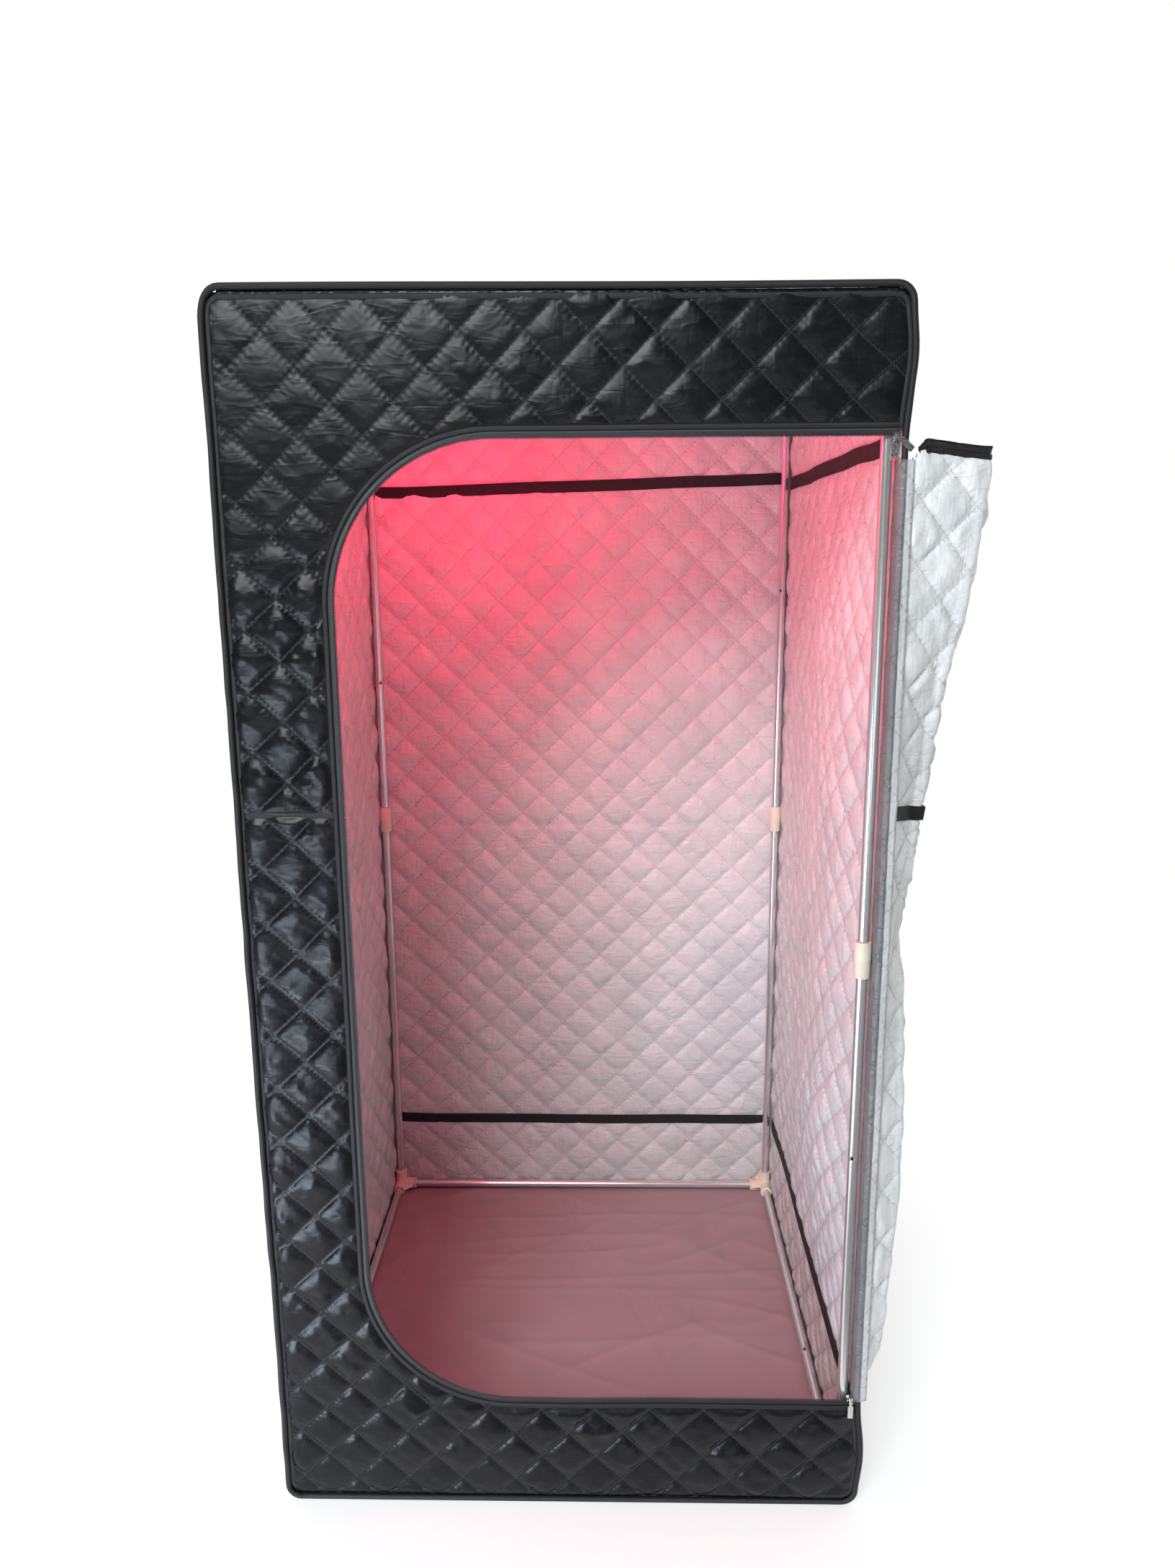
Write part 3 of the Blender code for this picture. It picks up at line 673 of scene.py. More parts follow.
def nylon():
    finish = quilted_cloth(
        "black_nylon", ((0.0052, 0.0058, 0.0072), (0.0085, 0.0090, 0.0110)),
        (0.040, 0.042, 0.047), (0.22, 0.32), 0.22, 0.00008)
    finish.set("Specular IOR Level", 0.23)
    return finish.material


def satin(name="silver_satin", wrinkle=1.25, shade=1.0):
    # shade scales the satin's colour and thread: below 1 it paints shade into it, above 1 it paints light; 1
    # is the plain lining.
    colours = [tuple(shade * c for c in colour) for colour in ((0.59, 0.61, 0.61), (0.67, 0.68, 0.68))]
    thread = (0.52 * shade, 0.51 * shade, 0.52 * shade)
    finish = quilted_cloth(name, colours, thread, (0.33, 0.48), wrinkle, 0.00022)
    finish.set("Specular IOR Level", 0.5)
    return finish.material


def tape_cloth(name, colour, rows, row_pitch=0.0022, roughness=0.7):
    """Woven webbing or twill with lines of stitches at given distances round its section."""
    finish = Finish(name, colour, roughness)
    place = finish.cloth()
    u, v = finish.split(place)[:2]
    m = finish.math
    twill = m("SINE", m("MULTIPLY", m("ADD", u, m("MULTIPLY", v, 0.6)), 2 * math.pi / 0.0011))
    height = m("MULTIPLY", twill, 0.25)
    for row in rows:
        near = finish.ramp(m("ABSOLUTE", m("SUBTRACT", v, row)), 1.0, 0.0, 0.0002, 0.0006)
        dash = finish.ramp(m("SINE", m("MULTIPLY", u, 2 * math.pi / row_pitch)), 0.0, 1.0, -0.4, 0.2)
        height = m("ADD", height, m("MULTIPLY", near, m("MULTIPLY_ADD", dash, 1.4, -0.9)))
    worn = finish.noise(place, 40.0, 3)
    finish.set(
        "Base Color", finish.blend(worn, tuple(0.7 * c for c in colour), tuple(1.5 * c for c in colour)))
    finish.set("Roughness", finish.ramp(worn, roughness - 0.12, roughness + 0.1))
    finish.set("Normal", finish.bump(height, 0.0003, 0.8))
    return finish.material


def floor_cloth():
    finish = Finish("floor_cloth", (0.36, 0.27, 0.29), 0.6)
    place = finish.cloth()
    threads = weave(finish, place, 700.0)
    soil = finish.noise(place, 5.0, 4)
    finish.set("Base Color", finish.blend(soil, (0.33, 0.245, 0.265), (0.39, 0.295, 0.315)))
    finish.set("Roughness", finish.ramp(finish.noise(place, 22.0, 2), 0.5, 0.66))
    rumple = finish.bump(finish.noise(finish.scaled(place, (14, 6, 1), 35), 1.0, 3, 0.5), 0.0020, 0.8)
    streaks = finish.noise(finish.scaled(place, (7, 2.2, 1), 31), 1.0, 1, 0.4)
    drawn = finish.math("ABSOLUTE", finish.math("SUBTRACT", streaks, 0.5))
    creases = finish.bump(finish.ramp(drawn, 1.0, 0.0, 0.0, 0.06), 0.0006, 1.0, rumple)
    finish.set("Normal", finish.bump(threads, 0.0001, 0.6, creases))
    return finish.material


def chrome():
    finish = Finish("chrome_tube", (0.80, 0.80, 0.79), 0.20, 0.82)
    place = finish.cloth()
    drawn = finish.noise(finish.scaled(place, (3.0, 900.0, 1)), 1.0, 2)
    spots = finish.noise(place, 120.0, 4)
    finish.set("Roughness", finish.ramp(drawn, 0.14, 0.26, 0.3, 0.75))
    tarnish = finish.blend(finish.ramp(spots, 0, 1, 0.66, 0.80), (0.76, 0.76, 0.75), (0.56, 0.54, 0.51))
    finish.set("Base Color", tarnish)
    finish.set("Normal", finish.bump(drawn, 0.00004, 0.5))
    return finish.material


def moulded(name, colour, dark, roughness):
    """Injection-moulded plastic with a faint grain and flow marks."""
    finish = Finish(name, colour, roughness)
    place = finish.object_place()
    flow = finish.noise(place, 30.0, 3)
    grain = finish.noise(place, 1800.0, 2)
    finish.set("Base Color", finish.blend(finish.ramp(flow, 0, 1, 0.3, 0.75), colour, dark))
    finish.set("Roughness", finish.ramp(flow, roughness - 0.06, roughness + 0.08))
    finish.set("Normal", finish.bump(grain, 0.00008, 0.35))
    finish.set("Subsurface Weight", 0.0)
    return finish.material


def nickel():
    finish = Finish("nickel", (0.66, 0.65, 0.63), 0.2, 1.0)
    place = finish.object_place()
    finish.set("Roughness", finish.ramp(finish.noise(place, 500.0, 3), 0.14, 0.34, 0.3, 0.7))
    finish.set("Normal", finish.bump(finish.noise(place, 900.0, 2), 0.00003, 0.4))
    return finish.material


def red_lens():
    finish = Finish("red_lens", (0.75, 0.02, 0.05), 0.3)
    rings = finish.noise(finish.object_place(), 260.0, 1)
    finish.set("Normal", finish.bump(rings, 0.0004, 0.5))
    finish.set("Emission Color", (1.0, 0.05, 0.10, 1))
    finish.set("Emission Strength", 3.0)
    return finish.material


NYLON = nylon()
SATIN = satin()
# Painted shade: the lining satin at about a quarter of its brightness, for the hinge strip's seam beside the
# tube.
SATIN_PAINTED_SHADE = satin("hinge_satin_painted_shade", 1.6, 0.26)
EDGE_SATIN = satin("hinge_edge_satin", 1.4, 0.98)
# Painted light: the door's satin is brightened to 1.36 times the walls' satin and stands in for light on the
# hanging flap.
DOOR_SATIN_PAINTED_LIGHT = satin("door_satin_painted_light", 1.25, 1.36)
BINDING = tape_cloth("black_binding", (0.0065, 0.0065, 0.0072), (0.0035, 0.0075), roughness=0.6)
WEBBING = tape_cloth("black_webbing", (0.0065, 0.0065, 0.0070), (0.003, 0.019))
ZIP_CLOTH = tape_cloth("zip_twill", (0.014, 0.014, 0.0155), (0.004, 0.010), roughness=0.42)
FLOOR = floor_cloth()
CHROME = chrome()
CREAM = moulded("cream_plastic", (0.80, 0.74, 0.62), (0.72, 0.65, 0.53), 0.38)
BLACK_PLASTIC = moulded("black_plastic", (0.018, 0.018, 0.019), (0.012, 0.012, 0.013), 0.42)
NICKEL = nickel()
LENS = red_lens()
COIL = moulded("zip_coil", (0.012, 0.012, 0.013), (0.02, 0.02, 0.021), 0.3)


# ---------------------------------------------------------------- quilted walls


def wall_relief(seed, calm=(), amount=None, lining=None, rumpled=0.0):
    """The quilting's two faces, flat at the edges and under the tapes in calm: (height, half width)."""
    def relief(u, v, edge):
        soft = ease(edge, 0.0, 0.014)
        pillow = quilting(u, v, seed)
        tight = 1 - 0.85 * sum((hump(v, at, width) for at, width in calm), np.zeros(len(u)))
        outside = crumple(u, v, seed + 3, 0.0075) * 0.0018 + folds(u, v, -38, 0.06, 0.020, seed + 4) * 0.0012
        inside = crumple(u, v, seed + 7, 0.0065) * 0.0012 + folds(u, v, 84, 0.08, 0.014, seed + 5) * 0.0014
        free = ease(pillow, 0.05, 0.6)
        puckers = np.sin(2 * math.pi * (u + v) / 0.017 + 5 * smooth_noise(u, v, (0.04, 0.04), seed + 8))
        hem = puckers * np.exp(-edge / 0.007) * ease(edge, 0, 0.004)
        share = 1.0 if amount is None else amount(u, v)
        lining_share = 1.0 if lining is None else lining(u, v)
        loose = folds(u, v, 62, 0.09, 0.030, seed + 9, 3) + folds(u, v, 121, 0.08, 0.026, seed + 10, 3)
        inside = inside + rumpled * loose
        outer = SEWN + soft * share * (PUFF_OUT * pillow + outside * free) + 0.0012 * hem
        inner = SEWN + soft * tight * lining_share * (PUFF_IN * pillow + inside * free) + 0.0005 * hem
        return outer, inner
    return relief


def wall(name, node, shape, extent, place, seed, calm=(), cells=14, amount=None, lining=None):
    relief = wall_relief(seed, calm, amount, lining)
    sheet = quilted_sheet(name, shape, extent, place, relief, (NYLON, SATIN), cells)
    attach(sheet, "root")
    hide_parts(node)
    return sheet


UPPER_TAPE_Z, LOWER_TAPE_Z = 1.605, 0.178
TAPE_HALF = 0.011
SIDE_EXTENT = ((-HALF - TUCK, HALF + TUCK), (LOW - TUCK, HIGH + TUCK))
SQUARE = rectangle(HALF + TUCK, LOW - TUCK, HIGH + TUCK, 0.006)
ROUNDED = rectangle(HALF + TUCK, LOW - TUCK, HIGH + TUCK, CORNER_R + TUCK)
PORT_Y, PORT_Z = (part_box("steam_port_grommet")[0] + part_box("steam_port_grommet")[1]).yz / 2
PORT_R = 0.032
FRONT_EDGE = 0.0135
SEAM_Z = 1.115
DOOR_EDGE = SEAM - 0.005
UNDER_TAPE = ((UPPER_TAPE_Z, 0.016), (LOWER_TAPE_Z, 0.016))


def front_shape(u, v):
    return np.minimum(ROUNDED(u, v), -opening(u, v) - FRONT_EDGE)


def front_amount(u, v):
    """The quilting lies flatter along the top of the front, most of all at its left end."""
    calm = 0.62 * ease(v, 1.36, 1.62) + 0.18 * ease(v, 1.30, 1.60) * (1 - ease(u, -0.30, 0.10))
    return (1 - calm) * (1 - 0.92 * hump(v, SEAM_Z, 0.006) * (u < ZIP_LEFT))


def right_lining(u, v):
    """The right wall's lining is pulled flat beside the front upright."""
    return ease(u + HALF, 0.016, 0.055)


def door_share(u, v):
    """The door's quilting is pulled flat along its fold."""
    return 1 - 0.8 * hump(SEAM - u - fold_distance(v), 0, 0.018)


def door_lining(u, v):
    return 0.72 * door_share(u, v)


def left_shape(u, v):
    return np.minimum(SQUARE(u, v), np.hypot(u - PORT_Y, v - PORT_Z) - PORT_R)


def roof_shape(u, v):
    return HALF + TUCK - np.maximum(np.abs(u), np.abs(v))


def door_shape(u, v):
    chamfer = (DOOR_EDGE + ZIP_TOP - 0.0063 - HINGE_CUT - u - v) / math.sqrt(2)
    return np.minimum(np.minimum(opening(u, v) - FRONT_EDGE, DOOR_EDGE - u), chamfer)


def build_walls():
    front = wall(
        "front_panel_quilt", "front_panel", front_shape, SIDE_EXTENT, place_front, 101,
        cells=18, amount=front_amount)
    left = wall("left_wall_quilt", "left_wall", left_shape, SIDE_EXTENT, place_left, 121)
    right = wall(
        "right_wall_quilt", "right_wall", SQUARE, SIDE_EXTENT, place_right, 141, UNDER_TAPE,
        lining=right_lining)
    back = wall("back_wall_quilt", "back_wall", ROUNDED, SIDE_EXTENT, place_back, 161, UNDER_TAPE)
    roof = wall("roof_quilt", "roof_panel", roof_shape, (SIDE_EXTENT[0],) * 2, place_roof, 181)
    return front, left, right, back, roof


def build_door_sheet():
    extent = ((ZIP_LEFT, SEAM), (ZIP_BOTTOM, ZIP_TOP))
    calm = ((SEAM_Z, 0.015),)
    relief = wall_relief(201, calm, door_share, door_lining, 0.0040)
    sheet = quilted_sheet("door_quilt", door_shape, extent, place_door, relief, (NYLON, DOOR_SATIN_PAINTED_LIGHT), 16)
    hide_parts("door_strip", "door_panel")
    bend_with_door(sheet)
    return sheet


def build_floor():
    """The floor cloth: plain, with creases where it was folded."""
    def relief(u, v, edge):
        packed = (hump(u, -0.02, 0.007) + hump(v, 0.06, 0.007)
                  + hump(u - v, 0.33, 0.008) + hump(u + 0.4 * v, 0.10, 0.007))
        soft = (folds(u, v, 30, 0.35, 0.09, 301, 5) + folds(u, v, -25, 0.40, 0.10, 302, 5)
                + folds(u, v, 4, 0.5, 0.07, 303, 7))
        corner = np.hypot(u + 0.40, v - 0.40)
        rays = np.sin(13 * np.arctan2(v - 0.40, u + 0.40)) * hump(corner, 0.17, 0.10)
        raised = (0.0016 * packed + 0.0030 * soft
                  + 0.0022 * (1 + rays) * hump(corner, 0.17, 0.10)) * ease(edge, 0.0, 0.05)
        return FLOOR_TOP / 2 + raised, np.full(len(u), FLOOR_TOP / 2)

    def place_floor(u, v, n):
        return np.stack([u, v, FLOOR_TOP / 2 + n], 1)

    sheet = quilted_sheet(
        "floor_cloth_sheet", roof_shape, (SIDE_EXTENT[0],) * 2, place_floor, relief, (FLOOR, FLOOR), 14)
    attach(sheet, "root")
    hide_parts("floor_panel")
    return sheet


# ---------------------------------------------------------------- piping, bindings and tapes


def round_section(radius, sides=12):
    turns = [2 * math.pi * k / sides for k in range(sides)]
    return [(radius * math.cos(t), radius * math.sin(t)) for t in turns]


def dressed(piece, nodes=(), body="root"):
    if body:
        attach(piece, body)
    if nodes:
        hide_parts(*nodes)
    return piece


def wavy(place, seed, size=0.0009):
    """Piping isn't quite straight: its place wanders a little along its length."""
    def moved(u, v, n):
        return place(u + size * smooth_noise(u + v, v * 0.7, (0.05, 0.06), seed), v, n)
    return moved


def build_piping():
    path = rounded_path(SEAM, SEAM - HALF - 0.0015, HIGH + 0.006, 0.020)
    round_cord = round_section(PIPING_R)
    for place_name, y in (("front", -SEAM), ("back", SEAM)):
        def put(u, v, n, y=y):
            if y < 0:
                u, v = skewed(u, v)
            return np.stack([u, y + n, v], 1)
        cord = band(f"piping_cord_{place_name}", path, round_cord, wavy(put, 71), (BINDING,), closed=True)
        dressed(cord, (f"piping_{place_name}",))
    for level in ("roof", "floor"):
        for side in ("left", "right"):
            node = f"piping_{level}_{side}"
            low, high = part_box(node)
            middle = (low + high) / 2

            inward = Vector((-math.copysign(0.0059, middle.x), 0, 0.0059 if level == "floor" else -0.0059))

            def put(u, v, n, middle=middle, inward=inward):
                turned = ease(np.abs(u), SEAM - 0.030, SEAM - 0.004)
                return np.stack([middle.x + n + inward.x * turned, u, middle.z + v + inward.z * turned], 1)
            path_side = straight_path((low.y, 0), (high.y, 0), 0.012)
            cord = band(f"piping_cord_{level}_{side}", path_side, round_cord, put, (BINDING,))
            dressed(cord, (node,))


def build_edge_bindings():
    """Flat seam bindings inside the piping, on each wall's outer face."""
    section = strap_section(-0.0098, -0.0025, 0.0004, 0.0022)
    above = [row for row in rounded_path(SEAM, LOW, HIGH, 0.020, 0.010)]
    right_low, right_high = ZIP_BOTTOM - 0.004, ZIP_TOP + 0.006
    kept = [row for row in above if not (row[0] > SEAM - 1e-6 and right_low < row[1] < right_high)]
    start = next(k for k, row in enumerate(kept) if row[0] > SEAM - 1e-6 and row[1] > 1.0)
    front_path = kept[start:] + kept[:start]
    pieces = [("front", front_path, place_front, False)]
    walls = (("back", place_back), ("left", place_left), ("right", place_right))
    pieces += [(name, above, place, True) for name, place in walls]
    for name, path, place, closed in pieces:
        strap = band(
            f"edge_binding_{name}", path, section, wavy(place, 81, 0.0006), (BINDING,), closed=closed)
        dressed(strap)
    square = [row for row in rounded_path(SEAM, -SEAM, SEAM, 0.010, 0.010)]
    strap = band("edge_binding_roof", square, section, place_roof, (BINDING,), closed=True)
    dressed(strap)


def build_front_seam():
    """The felled seam that joins the upper and lower halves of the front's left side."""
    path = straight_path((-HALF + 0.004, SEAM_Z), (ZIP_LEFT - 0.017, SEAM_Z), 0.006)
    seam = band("front_seam", path, strap_section(-0.0042, 0.0042, 0.0004, 0.0016), place_front, (BINDING,))
    return dressed(seam)


def build_lining_tapes():
    """Black tapes across the lining of the back and right walls. Their upper edge stands off the wall."""
    made = {}
    reach = HALF - 0.012
    for level, z, ledge in (("upper", UPPER_TAPE_Z, 0.0062), ("lower", LOWER_TAPE_Z, 0.0034)):
        face = -0.0026
        section = [
            (-TAPE_HALF, face), (-TAPE_HALF, face - 0.0014), (0, face - 0.0024),
            (TAPE_HALF, face - ledge), (TAPE_HALF + 0.0008, face - ledge + 0.001), (TAPE_HALF, face),
        ]
        hanging = [(-offset, height) for offset, height in reversed(section)]
        for wall_name, place in (("back", place_back), ("right", place_right)):
            slope = 0.030 if (wall_name, level) == ("back", "upper") else 0.0

            def sway(u, v, n, place=place, slope=slope, seed=91 if wall_name == "back" else 92):
                drift = 0.0022 * smooth_noise(u, 0 * u, (0.11, 1), seed) + slope * u
                ends = ease(HALF - np.abs(u), 0.012, 0.035)
                return place(u, v + drift, np.where(n < -0.003, -0.0032 + (n + 0.0032) * ends, n))
            path = straight_path((reach, z), (-reach, z), 0.012)
            tilted = hanging if (wall_name, level) == ("right", "lower") else section
            strap = band(f"lining_strap_{wall_name}_{level}", path, tilted, sway, (WEBBING,))
            made[wall_name, level] = dressed(strap, (f"lining_tape_{wall_name}_{level}",))
    return made


def zip_bands(prefix, place, path, side, node, ride):
    """The zip's twill tape, its binding to the cloth, and its coil. side is 1 outside the line."""
    tape_low, tape_high, edge = 0.0022, 0.0115, 0.0180
    pieces = []
    for name, low, high, bottom, top, finish in (
        ("twill", tape_low, tape_high, -0.0010, 0.0012, ZIP_CLOTH),
        ("binding", tape_high - 0.0012, edge, -0.0030, 0.0036, BINDING),
    ):
        ends = sorted((side * low, side * high))
        section = strap_section(*ends, bottom, top, 0.0016)
        pieces.append(band(f"{prefix}_{name}", path, section, place, (finish,)))
    pieces.append(zip_coil(f"{prefix}_coil", path, side * (tape_low - 0.0004), place))
    for piece in pieces:
        ride(piece)
    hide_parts(node)
    return pieces


def zip_coil(name, path, offset, place):
    """The row of coil teeth along the tape's edge, one small eased block for each turn."""
    path = np.asarray(path, float)
    steps = np.hypot(*np.diff(path[:, :2], axis=0).T)
    along = np.concatenate([[0], np.cumsum(steps)])
    pitch, half_length, half_width, half_height = 0.0025, 0.0007, 0.0014, 0.0012
    at = np.arange(pitch, along[-1] - pitch, pitch)
    u, v, out_u, out_v = (np.interp(at, along, path[:, k]) for k in range(4))
    size = np.hypot(out_u, out_v)
    out_u, out_v = out_u / size, out_v / size
    corners = [
        (l, w, h) for h in (-1, 1) for l, w in (
            (-1, -0.6), (-0.6, -1), (0.6, -1), (1, -0.6), (1, 0.6), (0.6, 1), (-0.6, 1), (-1, 0.6))]
    rows = []
    for l, w, h in corners:
        o = offset + w * half_width
        du, dv = out_u * o + out_v * l * half_length, out_v * o - out_u * l * half_length
        rows.append(place(u + du, v + dv, np.full(len(u), h * half_height)))
    points = np.stack(rows, 1).reshape(-1, 3)
    faces = []
    for k in range(len(at)):
        base = k * 16
        faces += [(base + a, base + (a + 1) % 8, base + 8 + (a + 1) % 8, base + 8 + a) for a in range(8)]
        for ring, order in ((0, -1), (8, 1)):
            loop = [base + ring + a for a in range(8)][::order]
            faces += [(loop[0], loop[a], loop[a + 1], loop[a + 2]) for a in (1, 3, 5)]
    mesh = mesh_from(name, points, faces, [0] * len(faces))
    mesh.set_sharp_from_angle(angle=math.radians(35))
    return link(name, mesh, (COIL,))


def door_zip_path():
    """The zip line on the door's side, which turns down across the cut corner at the top of the hinge."""
    cut = SEAM - 0.0300
    diagonal = 0.7071
    corner = [
        (SEAM - 0.0085 - t * diagonal, ZIP_TOP - 0.0215 + t * diagonal, diagonal, diagonal)
        for t in (0.010, 0.017, 0.024)]
    turn = [(cut + 0.0040, ZIP_TOP - 0.0025, 0.5, 0.866), (cut - 0.001, ZIP_TOP - 0.0004, 0.1736, 0.9848)]
    rest = zip_path(SEAM - 0.006)
    first = next(k for k, row in enumerate(rest) if row[0] < cut - 0.004)
    return corner + turn + rest[first:]


def build_zips():
    front = zip_bands(
        "front_zip", place_front, zip_path(HALF - 0.002), 1, "front_zip_tape", lambda p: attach(p, "root"))
    door = zip_bands("door_zip", place_door, door_zip_path(), -1, "door_zip_tape", bend_with_door)
    return front, door


def build_cross_tape():
    """The tape across the door's lining, from the hinge to the zip."""
    section = strap_section(-0.010, 0.010, -0.0052, -0.0022)
    path = straight_path((SEAM - 0.007, SEAM_Z), (ZIP_LEFT + 0.017, SEAM_Z), 0.006)
    strap = band("door_cross_strap", path, section, place_door, (WEBBING,))
    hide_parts("door_cross_tape")
    bend_with_door(strap)
    return strap


def build_hinge_lining():
    """The lining's strip over the hinge seam.

    Its columns up to first_pale lie outside the piping when the door is closed, so they are painted darker: a
    painted shade that also stands in for the seam's shadow beside the tube.
    """
    columns, first_pale = 17, 13
    corner = np.array([
        [0.4388, -0.424], [0.4384, -0.4400], [0.4400, -0.4505], [0.4446, -0.4530], [0.4580, -0.4497]])
    low, high = ZIP_BOTTOM + 0.004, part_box("zip_pull_top_inner")[0].z - 0.003
    rows = 180
    v = np.linspace(low, high, rows)
    across = np.linspace(0, 4, columns)
    line = np.stack([np.interp(across, range(5), corner[:, k]) for k in (0, 1)], 1)
    tangent = np.gradient(line, axis=0)
    normal = np.stack([tangent[:, 1], -tangent[:, 0]], 1)
    normal /= np.linalg.norm(normal, axis=1)[:, None]
    points = []
    for side in (0.0004, -0.0004):
        wave = 0.0007 * smooth_noise(
            np.repeat(v, columns), np.tile(across, rows), (0.012, 1.5), 95).reshape(rows, columns)
        for k in range(rows):
            flat = line + normal * (side + wave[k])[:, None]
            points.append(np.column_stack([flat, np.full(columns, v[k])]))
    points = np.concatenate(points)
    n = rows * columns
    faces = [(k * columns + a, k * columns + a + 1, (k + 1) * columns + a + 1, (k + 1) * columns + a)
             for k in range(rows - 1) for a in range(columns - 1)]
    back = [tuple(x + n for x in face[::-1]) for face in faces]
    rim = [(b, a, a + n, b + n) for a, b in open_edges(faces)]
    walked = np.concatenate([[0], np.cumsum(np.hypot(*np.diff(line, axis=0).T))])
    flat = np.column_stack([
        np.tile(DOOR_EDGE + walked[-1] - walked, rows * 2), np.tile(np.repeat(v, columns), 2)])
    # Columns before first_pale get the painted-shade satin; the rest get the plain edge satin.
    kinds = [int(k % (columns - 1) >= first_pale) for k in range(len(faces))]
    kinds += [2] * (len(back) + len(rim))
    mesh = mesh_from("hinge_lining_strip", points, faces + back + rim, kinds, flat)
    strip = link("hinge_lining_strip", mesh, (SATIN_PAINTED_SHADE, EDGE_SATIN, BINDING))
    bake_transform(strip)
    return strip


# ---------------------------------------------------------------- frame


def lathe(name, profile, sides, materials, sharp=35):
    """A closed turned body round +Z: the loop of (radius, height) points, with cloth coordinates along it."""
    profile = np.asarray(profile, float)
    turns = np.arange(sides) * 2 * math.pi / sides
    r, h = np.tile(profile[:, 0], sides), np.tile(profile[:, 1], sides)
    t = np.repeat(turns, len(profile))
    points = np.stack([r * np.cos(t), r * np.sin(t), h], 1)
    m = len(profile)
    faces = [
        (i * m + k, i * m + (k + 1) % m, (i + 1) % sides * m + (k + 1) % m, (i + 1) % sides * m + k)
        for i in range(sides) for k in range(m)
    ]
    flat = np.stack([h, t * 0.008], 1)
    mesh = mesh_from(name, points, faces, [0] * len(faces), flat)
    mesh.set_sharp_from_angle(angle=math.radians(sharp))
    return link(name, mesh, materials)


def axis_matrix(low, high):
    """Where a node's own axis starts, and the turn from +Z onto it."""
    size = high - low
    axis = max(range(3), key=lambda k: size[k])
    start = (low + high) / 2
    start[axis] = low[axis]
    turn = {
        0: Matrix.Rotation(math.pi / 2, 4, "Y"),
        1: Matrix.Rotation(-math.pi / 2, 4, "X"),
        2: Matrix.Identity(4),
    }
    return Matrix.Translation(start) @ turn[axis], size[axis]


TUBE_R, TUBE_WALL = 0.008, 0.0008
DIMPLES = {
    "upright_upper_back_right": (1.39, (-0.5, -1)),
    "upright_upper_back_left": (1.20, (0.5, -1)),
    "upright_lower_front_right": (0.59, (-0.45, -1)),
    "base_rail_right": (0.32 - 0.45, (-0.3, 1)),
}


def tube_mesh_piece(node):
    low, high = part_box(node)
    matrix, length = axis_matrix(low, high)
    ease_r = 0.0003
    inner = TUBE_R - TUBE_WALL
    profile = [
        (TUBE_R - ease_r, 0), (TUBE_R, ease_r), (TUBE_R, length / 2), (TUBE_R, length - ease_r),
        (TUBE_R - ease_r, length), (inner, length), (inner, 0),
    ]
    tube = lathe(f"{node}_tube", profile, 40, (CHROME,))
    tube.data.transform(matrix)
    if node in DIMPLES:
        punch(tube, node, *DIMPLES[node])
    return dressed(tube, (node,))


def punch(tube, node, at, towards):
    """Cuts a round dimple into the tube."""
    low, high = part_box(node)
    middle = (low + high) / 2
    upright = high.z - low.z > 0.1
    if upright:
        out = Vector((towards[0], towards[1], 0)).normalized()
        centre = Vector((middle.x, middle.y, at))
    else:
        out = Vector((towards[0], 0, towards[1])).normalized()
        centre = Vector((middle.x, at, middle.z))
    ball_r, hole_r = 0.0062, 0.0035
    depth = math.sqrt(ball_r**2 - hole_r**2)
    bm = bmesh.new()
    bmesh.ops.create_uvsphere(bm, u_segments=32, v_segments=20, radius=ball_r)
    mesh = bpy.data.meshes.new("punch")
    bm.to_mesh(mesh)
    bm.free()
    cutter = link("punch", mesh, ())
    cutter.matrix_world = Matrix.Translation(centre + out * (TUBE_R - 0.0006 + depth))
    cut = tube.modifiers.new("punch", "BOOLEAN")
    cut.operation, cut.solver, cut.object = "DIFFERENCE", "EXACT", cutter
    bpy.context.view_layer.update()
    graph = bpy.context.evaluated_depsgraph_get()
    finished = bpy.data.meshes.new_from_object(tube.evaluated_get(graph))
    tube.modifiers.clear()
    tube.data = finished
    bpy.data.objects.remove(cutter)


def build_tubes():
    families = ("upright_lower", "upright_upper", "base_rail", "top_rail")
    nodes = [n for n in frame["nodes"] if n.startswith(families)]
    return [tube_mesh_piece(node) for node in sorted(nodes)]


def apply_modifiers(piece):
    bpy.context.view_layer.update()
    graph = bpy.context.evaluated_depsgraph_get()
    finished = bpy.data.meshes.new_from_object(piece.evaluated_get(graph))
    piece.modifiers.clear()
    piece.data = finished


def join_solids(base, tools, operation):
    """Joins or cuts base with each of the tools, which are then removed."""
    for tool in tools:
        step = base.modifiers.new("step", "BOOLEAN")
        step.operation, step.solver, step.object = operation, "EXACT", tool
        apply_modifiers(base)
        bpy.data.objects.remove(tool)


def solid_lathe(name, profile, sides=40):
    """A turned body whose profile runs from the axis at the bottom to the axis at the top."""
    bm = bmesh.new()
    rings = []
    for r, h in profile:
        if r == 0:
            rings.append([bm.verts.new((0, 0, h))])
        else:
            turns = (2 * math.pi * k / sides for k in range(sides))
            rings.append([bm.verts.new((r * math.cos(t), r * math.sin(t), h)) for t in turns])
    for low, high in zip(rings, rings[1:]):
        for i in range(sides):
            k = (i + 1) % sides
            face = [low[i % len(low)], low[k % len(low)], high[k % len(high)], high[i % len(high)]]
            bm.faces.new(list(dict.fromkeys(face)))
    bmesh.ops.recalc_face_normals(bm, faces=bm.faces[:])
    mesh = bpy.data.meshes.new(name)
    bm.to_mesh(mesh)
    bm.free()
    return link(name, mesh, ())


SOCKET_R, SOCKET_REACH, SOCKET_LIP = 0.012, 0.034, 0.013
AXIS_TURN = {
    "x": Matrix.Rotation(math.pi / 2, 4, "Y"),
    "y": Matrix.Rotation(-math.pi / 2, 4, "X"),
    "z": Matrix.Identity(4),
}


